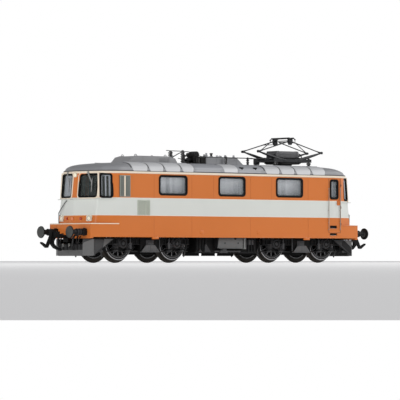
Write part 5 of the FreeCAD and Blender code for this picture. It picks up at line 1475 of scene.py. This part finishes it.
def roof_small_parts():
    s, k, d = Shape(), Shape(), Shape()
    # knobs and sockets on top of the sloped cover, and a dark line along the walkway, a painted shadow under its edge
    for x, y, h, r in ((-5.4, -5.2, 1.7, 0.62), (-5.3, -3.6, 1.2, 0.5)):
        k.lathe([(r, 0), (r, 0.5 * h), (0.7 * r, 0.62 * h), (0.7 * r, h), (0, h)], (x, y, 46.8), (0, 0, 1), 14)
    d.lathe([(0.75, 0), (0.75, 0.3), (0.5, 0.45), (0.5, 1.1), (0.72, 1.25), (0.72, 1.7), (0, 1.8)], (-2.4, -5.0, 46.8), (0, 0, 1), 16)
    for x, y, h in ((0.9, -5.0, 0.6), (2.4, -5.0, 0.5), (6.0, -4.6, 0.8), (11.2, -4.4, 0.9)):
        k.lathe([(0.7, 0), (0.7, 0.3 * h), (0.45, 0.5 * h), (0.45, h), (0, h + 0.05)], (x, y, 46.65), (0, 0, 1), 14)
        k.tube([(x - 0.5, y, 46.8), (x - 0.35, y, 46.9 + h), (x + 0.35, y, 46.9 + h), (x + 0.5, y, 46.8)], 0.12, 6, 3)
    k.done("cover_fittings", "root", "box", "roof_grey", 40)
    d.done("cover_sockets", "root", "soot", "black_plastic", 40)
    # dark lines along the walkways: painted shadow
    for turn in BOTH:
        s.at = turn
        s.box(-21.4, 19.4, -11.55, -11.3, ROOF_Z - 0.1, ROOF_Z + 0.16, 0.03)
        s.box(31.0, 55.0, -10.85, -10.65, ROOF_Z - 0.1, ROOF_Z + 0.3, 0.03)
    s.at = Matrix.Identity(4)
    s.done("walkway_shadow_lines", "root", "seam", "roof_grey")
    g = Shape()
    # ribbed mechanism between the breaker and the grille
    for i in range(5):
        g.box(-8.6 + i * 0.42, -8.4 + i * 0.42, -5.8, 4.6, ROOF_Z + 0.4, 46.6, 0.04)
    g.box(-8.9, -6.8, -6.0, 4.8, ROOF_Z, ROOF_Z + 0.6, 0.1)
    g.box(-8.8, -6.8, -6.1, 4.9, 46.2, 46.6, 0.1)
    for y in (-5.2, -3.9, -2.6, 2.0, 3.4):
        g.lathe([(0.5, 0), (0.62, 0.15), (0.62, 0.5), (0.5, 0.65)] * 1, (-9.3, y, 44.0), (-1, 0, 0), 12)
        g.lathe([(0.42, 0), (0.42, 2.2), (0, 2.3)], (-9.6, y, 44.0), (0, 0, 1), 10)
    g.lathe([(0.9, 0), (0.9, 0.6), (0.5, 0.8), (0, 0.8)], (-11.3, 2.6, 46.9), (-0.6, 0.2, 0.3), 14)
    g.done("breaker_mechanism", "root", "soot", "black_plastic", 40)


pantograph_arms()
pantograph_head()
pantograph_base()
roof_small_parts()


# ------------------------------------------------------------------ wheels, bogies, ploughs, underfloor, hoses
BOGIE_X, AXLE_Z = 43.835, 8.44


def wheel_details():
    for number, x in (("1", -58.8), ("2", -28.87), ("3", 28.87), ("4", 58.8)):
        ridge, cap, ring, web = Shape(), Shape(), Shape(), Shape()
        for s in (-1, 1):
            # pale raised ridges along each spoke: painted highlight
            for k in range(12):
                t = math.radians(30 * k)
                ridge.at = Matrix.Translation((x, 0, AXLE_Z)) @ Matrix.Rotation(-t, 4, "Y")
                ridge.prism([(1.7, -0.2), (4.0, -0.13), (6.2, -0.17), (6.2, 0.17), (4.0, 0.13), (1.7, 0.2)], s * 9.4, s * 9.66, "xz", 0.03)
            ridge.at = Matrix.Identity(4)
            o = (x, 0, AXLE_Z)
            ring.lathe([(6.15, s * 7.25), (6.15, s * 7.1), (6.5, s * 7.1), (6.5, s * 7.25), (6.15, s * 7.25)], o, (0, 1, 0), 48)
            ring.lathe([(6.16, s * 9.9), (6.16, s * 10.1), (6.28, s * 10.1), (6.3, s * 9.9), (6.16, s * 9.9)], o, (0, 1, 0), 48)
            cap.lathe([(1.95, s * 9.3), (1.95, s * 10.0), (1.7, s * 10.22), (1.2, s * 10.26), (1.1, s * 10.12), (0.5, s * 10.12), (0.42, s * 10.34),
                       (0, s * 10.36)], o, (0, 1, 0), 28)
            for k in range(6):
                t = math.radians(60 * k + 15)
                cap.bolt((x + 1.48 * math.cos(t), s * 10.22, AXLE_Z + 1.48 * math.sin(t)), (0, s, 0), 0.16, 0.1)
            # closed rear web behind the spokes, with a rolled rim and a collar on the axle
            web.lathe([(1.5, s * 7.35), (5.6, s * 7.35), (6.1, s * 7.25), (6.1, s * 7.7), (5.6, s * 7.6), (1.5, s * 7.6), (1.5, s * 7.35)], o, (0, 1, 0), 40)
            cap.lathe([(1.2, s * 6.9), (1.75, s * 6.95), (1.75, s * 7.25), (1.2, s * 7.3)], o, (0, 1, 0), 24)
        ridge.done("spoke_highlight_ridges_" + number, "wheelset_" + number, "spoke_highlight", "tyre_steel", 40)
        web.done("wheel_webs_" + number, "wheelset_" + number, "dark", "wheel_black", 40)
        ring.done("tyre_rings_" + number, "wheelset_" + number, "tyre_ring", "tyre_steel", 40)
        cap.done("hub_caps_" + number, "wheelset_" + number, "bogie_mid", "wheel_black", 40)


def bogie_details():
    for tag, turn in (("right", Matrix.Identity(4)), ("left", HALF)):
        body = "bogie_" + tag
        m = turn @ Matrix.Translation((BOGIE_X, 0, 0))
        cover, light, spring, dark, pad, pale = (Shape() for _ in range(6))
        for w in (cover, light, spring, dark, pad, pale):
            w.at = m
        for s in (-1, 1):
            # beam: rolled flanges, stiffeners and bolts
            for z in (7.85, 10.25):
                dark.box(-22.7, 25.4, s * 12.0, s * 12.55, z, z + 0.35, 0.08)
            for x in (-21.8, -20.2, -12.9, -9.2, -7.0, 7.0, 9.2, 12.9, 20.2, 22.4, 24.4):
                dark.box(x - 0.16, x + 0.16, s * 12.05, s * 12.5, 8.1, 10.4, 0.05)
            for x in (-22.0, -11.0, -8.2, 8.2, 11.0, 21.3, 23.4):
                dark.bolt((x, s * 12.1, 9.2), (0, s, 0), 0.26, 0.2)
            for kx in (-1, 1):
                xa = kx * 14.965
                # axle box: rim, round cover with a ring of bolts
                o = (xa, s * 13.28, AXLE_Z)
                cover.lathe([(1.92, -0.7), (2.1, -0.5), (2.1, -0.2), (1.85, 0.02), (1.5, 0.05), (1.38, -0.12), (0.9, -0.12), (0.8, 0.1), (0.4, 0.2), (0, 0.22)],
                            o, (0, s, 0), 28)
                for k in range(8):
                    t = math.radians(45 * k + 22.5)
                    cover.bolt((xa + 1.68 * math.cos(t), s * 13.3, AXLE_Z + 1.68 * math.sin(t)), (0, s, 0), 0.15, 0.14)
                # cast box round it, with horn guides and keeper
                cover.prism([(xa - 2.5, 7.3), (xa - 1.8, 6.75), (xa + 1.8, 6.75), (xa + 2.5, 7.3), (xa + 2.5, 10.0), (xa + 1.7, 10.75), (xa - 1.7, 10.75), (xa - 2.5, 10.0)],
                            s * 12.35, s * 12.75, "xz", 0.12, 2)
                for g in (-1, 1):
                    dark.box(xa + g * 2.62, xa + g * 3.1, s * 11.2, s * 12.65, 7.0, 10.6, 0.12)
                    dark.bolt((xa + g * 2.86, s * 12.65, 9.9), (0, s, 0), 0.18, 0.14)
                    dark.bolt((xa + g * 2.86, s * 12.65, 7.6), (0, s, 0), 0.18, 0.14)
                # brake rigging: shoe, hanger and pull rod on both sides of each wheel
                for g in (-1, 1):
                    pts_in = [(xa + g * 7.46 * math.cos(math.radians(a)), AXLE_Z + 7.46 * math.sin(math.radians(a))) for a in (-24, -12, 0, 12)]
                    pts_out = [(xa + g * 8.3 * math.cos(math.radians(a)), AXLE_Z + 8.3 * math.sin(math.radians(a))) for a in (12, 0, -12, -24)]
                    pad.prism(pts_in + pts_out, s * 8.75, s * 10.3, "xz", 0.1)
                    pad.box(xa + g * 8.2, xa + g * 8.8, s * 9.2, s * 9.8, 6.0, 12.6, 0.1)
                    pad.rod((xa + g * 8.5, s * 7.2, 6.9), (xa + g * 8.5, s * 10.6, 6.9), 0.32, 8)
                # shock absorber beside the box
                p0, p1 = (xa - kx * 4.2, s * 12.9, 6.1), (xa - kx * 4.2, s * 12.9, 10.5)
                light.rod(p0, (p0[0], p0[1], 8.6), 0.55, 12)
                light.rod((p0[0], p0[1], 8.5), p1, 0.3, 10)
                light.lathe([(0.7, 0), (0.7, 0.3), (0.55, 0.4)], (p0[0], p0[1], 8.3), (0, 0, 1), 12)
                dark.box(p0[0] - 0.5, p0[0] + 0.5, s * 11.6, s * 13.1, 10.2, 10.6, 0.08)
                dark.box(p0[0] - 0.5, p0[0] + 0.5, s * 11.6, s * 13.1, 5.8, 6.2, 0.08)
                # cable to the axle end
                dark.tube([(xa + 0.4, s * 13.5, 8.7), (xa + 1.4, s * 13.75, 9.6), (xa + 2.9, s * 13.2, 10.6), (xa + 3.6, s * 12.2, 11.2)], 0.17, 7, 5)
            for x in (-18.4, -11.6, 11.6, 18.4):
                spring.spring((x, s * 11.85, 6.1), (0, 0, 1), 1.28, 2.1, 3.4, 0.24)
                spring.lathe([(1.6, 0), (1.6, 0.22), (1.1, 0.3)], (x, s * 11.85, 8.0), (0, 0, 1), 20)
                spring.lathe([(1.45, 0), (1.5, -0.2), (0.9, -0.5), (0.35, -0.6), (0.35, -0.95), (0, -1.0)], (x, s * 11.85, 5.45), (0, 0, 1), 20)
            # middle: link box with lid, lighter trapezoid bracket with a step and pivot
            light.prism([(-2.2, 5.2), (-2.2, 9.9), (2.0, 9.9), (2.0, 5.2)], s * 12.5, s * 12.95, "xz", 0.12, 2)
            for x, z in ((-1.7, 9.4), (1.5, 9.4), (-1.7, 5.9), (1.5, 5.9)):
                light.bolt((x, s * 12.95, z), (0, s, 0), 0.18, 0.12)
            light.box(-1.5, 1.3, s * 12.9, s * 13.15, 6.9, 8.9, 0.08)
            pale.prism([(-4.7, 4.7), (4.7, 4.7), (4.7, 5.2), (2.5, 7.7), (-2.5, 7.7), (-4.7, 5.2)], s * 13.1, s * 13.5, "xz", 0.1, 2)
            pale.box(-4.9, 4.9, s * 12.4, s * 13.75, 4.6, 4.95, 0.08)
            for x in (-3.3, -1.1, 1.1, 3.3):
                pale.bolt((x, s * 13.5, 5.5), (0, s, 0), 0.2, 0.14)
            pale.box(-0.16, 0.16, s * 13.4, s * 13.62, 5.0, 7.5, 0.05)
            # thin pipe down the middle, and the sand pipes at both ends
            light.tube([(-5.2, s * 12.6, 10.9), (-5.4, s * 12.95, 9.8), (-5.4, s * 12.95, 6.4), (-4.9, s * 12.6, 5.3)], 0.22, 7, 4)
            light.tube([(24.6, s * 9.6, 10.4), (24.7, s * 9.5, 7.4), (23.9, s * 9.2, 4.6), (23.3, s * 9.0, 2.5)], 0.3, 8, 5)
            light.tube([(-22.0, s * 9.6, 10.4), (-22.8, s * 9.5, 7.4), (-22.6, s * 9.2, 4.6), (-22.2, s * 9.0, 2.6)], 0.3, 8, 5)
            # longitudinal rod under the springs
            pad.rod((-22.4, s * 11.3, 5.0), (-5.4, s * 11.3, 5.0), 0.28, 8)
            pad.rod((5.4, s * 11.3, 5.0), (23.0, s * 11.3, 5.0), 0.28, 8)
        cover.done("axle_box_covers_" + tag, body, "bogie_mid", "dark_plastic", 42)
        light.done("bogie_fittings_" + tag, body, "bogie_light", "dark_plastic", 42)
        spring.done("bogie_springs_" + tag, body, "bogie_mid", "black_metal", 40)
        dark.done("bogie_ribs_" + tag, body, "dark", "black_plastic", 40)
        pad.done("brake_rigging_" + tag, body, "dark", "black_metal", 40)
        pale.done("bogie_brackets_" + tag, body, "bogie_pale", "grey_plastic", 40)


def plough_details():
    for tag, turn in (("right", Matrix.Identity(4)), ("left", HALF)):
        body = "bogie_" + tag
        pale, mid, dark, shade = Shape(), Shape(), Shape(), Shape()
        for w in (pale, mid, dark, shade):
            w.at = turn
        # front blade: pale lower band with a lip, dark ribs and bolts above
        pale.prism([(-8.6, 3.05), (8.6, 3.05), (8.5, 5.6), (-8.5, 5.6)], 76.85, 77.16, "yz", 0.08)
        pale.rod((77.05, -8.5, 3.2), (77.05, 8.5, 3.2), 0.2, 8)
        for y in (-7.2, -4.8, -2.4, 0.0, 2.4, 4.8, 7.2):
            dark.box(76.95, 77.2, y - 0.18, y + 0.18, 5.5, 7.9, 0.06)
            pale.bolt((77.14, y + 1.0, 4.4), (1, 0, 0), 0.2, 0.12)
        dark.box(76.1, 77.2, -8.5, 8.5, 7.85, 8.2, 0.1)
        for s in (-1, 1):
            # folded wing between blade and side plate
            a, b = Vector((77.06, s * 8.5, 0)), Vector((74.72, s * 12.9, 0))
            d = (b - a).normalized()
            n = Vector((d.y, -d.x, 0)) * (1 if s > 0 else -1)
            n = n if n.x > 0 else -n
            vs = []
            for p, zs in ((a, (3.1, 8.6)), (b, (3.1, 10.3))):
                for off in (0.16, -0.12):
                    for z in zs:
                        vs.append(tuple(p + n * off + Vector((0, 0, z))))
            pale.soften(pale.add(vs, [(0, 1, 5, 4), (2, 6, 7, 3), (0, 4, 6, 2), (1, 3, 7, 5), (0, 2, 3, 1), (4, 5, 7, 6)]), 0.05)
            for t, z in ((0.2, 4.2), (0.8, 4.2), (0.25, 7.4), (0.8, 8.8)):
                p = a + (b - a) * t + n * 0.14
                pale.bolt((p.x, p.y, z), tuple(n), 0.2, 0.12)
            # pale bead at the corner where the wing meets the side plate
            pale.rod((74.62, s * 12.98, 3.2), (74.62, s * 12.98, 10.2), 0.2, 8)
            # side plate: inner panel, stiffening fold and bolts, in a painted shaded dark tone on the -Y side of each
            # turn and a lit mid tone on the other; pale upper corner, a painted lit patch
            plate = shade if s < 0 else mid
            plate.prism([(74.2, 4.2), (74.2, 9.9), (69.2, 9.9), (68.7, 7.9), (73.3, 4.6)], s * 12.95, s * 13.12, "xz", 0.05)
            # pale corner triangles: painted lit patches, at different places on the two sides
            if s < 0:
                pale.prism([(74.3, 10.3), (69.9, 10.3), (74.3, 7.0)], s * 12.98, s * 13.2, "xz", 0.04)
            else:
                pale.prism([(69.0, 10.3), (64.2, 10.3), (69.6, 6.75)], s * 12.98, s * 13.2, "xz", 0.04)
            for x, z in ((73.4, 5.4), (73.4, 9.1), (70.2, 9.1), (71.3, 7.0)):
                plate.bolt((x, s * 13.1, z), (0, s, 0), 0.22, 0.12)
            dark.rod((64.2, s * 12.7, 9.9), (73.3, s * 12.7, 4.1), 0.28, 8)
            # bracket from the bogie to the plate
            dark.prism([(63.9, 10.2), (67.5, 10.2), (72.4, 5.6), (71.2, 5.5)], s * 11.8, s * 12.3, "xz", 0.1)
        pale.done("plough_plates_" + tag, body, "plough_pale", "grey_plastic", 40)
        mid.done("plough_lit_panels_" + tag, body, "plough_lit_panel", "dark_plastic", 40)
        dark.done("plough_ribs_" + tag, body, "dark", "dark_plastic", 40)
        shade.done("plough_shaded_panels_" + tag, body, "dark", "dark_plastic", 40)


def underfloor_details():
    panel, dark, mid, pipe, gusset = Shape(), Shape(), Shape(), Shape(), Shape()
    for turn in BOTH:
        for w in (panel, dark, mid, pipe, gusset):
            w.at = turn
        # grey case between the bogies (near side of each half turn): lid with a slanted end, notch and two screws; the
        # lid's grey is the case's painted lit tone, while the case's other faces keep a painted shaded dark tone
        for s in (-1, 1):
            y = s * 14.8
            if s > 0:
                continue
            panel.prism([(-7.1, 6.45), (-6.3, 11.0), (2.4, 11.0), (2.6, 10.1), (3.6, 10.1), (3.8, 11.0), (7.5, 11.0), (7.5, 6.45)],
                        y - 0.2, y + 0.1, "xz", 0.07, 2)
            for x in (-2.9, 4.7):
                dark.lathe([(0.34, 0.05), (0.34, 0.26), (0.2, 0.22), (0, 0.2)], (x, y, 8.7), (0, -1, 0), 14)
            dark.box(2.75, 3.45, y - 0.15, y + 0.05, 10.2, 10.9, 0.04)
            panel.box(-6.4, 7.4, y - 0.32, y, 6.3, 6.6, 0.06)
            # pale pipe with clips
            pipe.lathe([(0.72, 0), (0.72, 0.5), (0.58, 0.6), (0.58, 4.2), (0.72, 4.3), (0.72, 4.8)], (9.1, s * 14.0, 6.1), (0, 0, 1), 16)
            for z in (7.4, 10.0):
                dark.box(8.2, 10.0, s * 13.2, s * 14.2, z, z + 0.4, 0.08)
            mid.rod((10.6, s * 13.4, 6.0), (10.6, s * 13.4, 11.0), 0.32, 8)
            # ribs and gussets on the trough beside the case
            for x in (-15.6, -13.9, -12.2, 12.4, 14.2, 15.8):
                dark.box(x - 0.2, x + 0.2, s * 12.5, s * 13.1, 4.6, 11.0, 0.06)
            gusset.prism([(-13.2, 4.7), (-9.4, 4.7), (-12.2, 8.2), (-12.8, 8.2)], s * 12.5, s * 13.3, "xz", 0.08)
            gusset.prism([(-16.6, 4.7), (-14.2, 4.7), (-15.6, 6.2)], s * 12.5, s * 13.2, "xz", 0.08)
            # small parts under the case
            mid.box(-4.8, -0.6, s * 12.6, s * 14.2, 4.4, 5.4, 0.14, 2)
            mid.box(-3.9, -1.4, s * 13.0, s * 14.5, 5.3, 6.1, 0.12)
            mid.rod((-7.6, s * 13.4, 5.1), (7.4, s * 13.4, 5.1), 0.28, 8)
            for x in (-7.0, 1.6, 3.4, 6.6):
                mid.bolt((x, s * 13.2, 4.9), (0, -1 if s < 0 else 1, 0), 0.34, 0.5)
            dark.box(-16.9, 16.9, s * 12.55, s * 12.9, 4.25, 4.7, 0.08)
            dark.box(-16.9, 16.9, s * 12.55, s * 12.8, 10.4, 10.8, 0.08)
        # plates between the bogie and the trough
        mid.box(12.0, 15.6, -12.95, -12.5, 8.0, 10.2, 0.1)
        for x in (12.6, 15.0):
            mid.bolt((x, -12.95, 9.6), (0, -1, 0), 0.2, 0.14)
    for w in (panel, dark, mid, pipe, gusset):
        w.at = Matrix.Identity(4)
    panel.done("underfloor_lit_lids", "root", "case_lit_grey", "grey_plastic", 40)
    dark.done("underfloor_ribs", "root", "dark", "black_plastic", 40)
    mid.done("underfloor_fittings", "root", "bogie_light", "dark_plastic", 40)
    gusset.done("underfloor_gussets", "root", "bogie_mid", "dark_plastic", 40)
    pipe.done("underfloor_pipes", "root", "pipe_grey", "grey_plastic", 40)


def hoses():
    hose, head, valve = Shape(), Shape(), Shape()
    for turn in BOTH:
        m = turn
        for w in (hose, head, valve):
            w.at = m
        for y, k in ((5.4, 1), (-5.4, -1)):
            # cock on the beam, looped hose and coupling head
            valve.lathe([(0.75, 0), (0.75, 0.5), (0.45, 0.7), (0.45, 1.4), (0, 1.5)], (77.1, y, 12.0), (1, 0, 0), 14)
            valve.box(77.6, 78.4, y - 0.7, y + 0.7, 12.2, 12.6, 0.08)
            hose.tube([(78.2, y, 12.0), (79.3, y, 11.4), (79.8, y - k * 0.1, 9.8), (79.9, y - k * 0.5, 7.6), (79.6, y - k * 1.6, 6.0), (79.4, y - k * 2.8, 6.1),
                       (79.3, y - k * 3.3, 7.4)], 0.44, 10, 6)
            head.lathe([(0.45, 0), (0.5, 0.15), (0.5, 0.8), (0.6, 0.95), (0.6, 1.3), (0.35, 1.5), (0, 1.5)], (79.3, y - k * 3.3, 6.9), (0, 0, 1), 14)
            # thin control line behind it, and the bracket it comes from
            hose.tube([(77.2, y + k * 1.7, 11.3), (78.0, y + k * 1.7, 10.2), (78.15, y + k * 1.4, 8.9), (78.15, y + k * 0.7, 8.5), (78.15, y + k * 0.2, 9.0),
                       (77.9, y + k * 0.1, 10.4), (77.2, y + k * 0.1, 11.3)], 0.26, 8, 6)
            valve.box(76.3, 77.0, y - k * 0.4, y + k * 0.1, 10.5, 11.3, 0.08)
    for w in (hose, head, valve):
        w.at = Matrix.Identity(4)
    hose.done("brake_hoses", "root", "hose", "black_rubber", 50)
    head.done("hose_heads", "root", "hose_head", "grey_plastic", 45)
    valve.done("hose_cocks", "root", "bogie_mid", "dark_plastic", 45)


def buffer_details():
    ring, face = Shape(), Shape()
    for turn in BOTH:
        for w in (ring, face):
            w.at = turn
        for y in (-10.06, 10.06):
            # mounting plate with bolts, stepped sleeve
            for dy in (-1.28, 1.28):
                for dz in (-1.08, 1.08):
                    ring.bolt((79.25, y + dy, 13.22 + dz), (1, 0, 0), 0.22, 0.2)
            ring.lathe([(1.3, 0), (1.5, 0.05), (1.5, 0.4), (1.32, 0.5)], (79.9, y, 13.22), (1, 0, 0), 24)
            ring.lathe([(1.3, 0), (1.5, 0.1), (1.5, 0.45), (1.1, 0.6)], (81.3, y, 13.22), (1, 0, 0), 24)
            ring.lathe([(1.1, 0), (1.3, 0.3), (1.9, 0.9), (1.9, 1.0)], (84.1, y, 13.22), (1, 0, 0), 24)
            # worn head: slightly domed disc with a rim
            face.lathe([(0, 0.16), (1.3, 0.13), (2.2, 0.05), (2.45, 0.0), (2.45, -0.1), (2.2, -0.12)], (85.63, y, 13.22), (1, 0, 0), 32)
    for w in (ring, face):
        w.at = Matrix.Identity(4)
    ring.done("buffer_sleeves", "root", "bogie_mid", "dark_plastic", 40)
    face.done("buffer_faces", "root", "buffer_face", "dark_metal", 50)


wheel_details()
bogie_details()
plough_details()
underfloor_details()
hoses()
buffer_details()
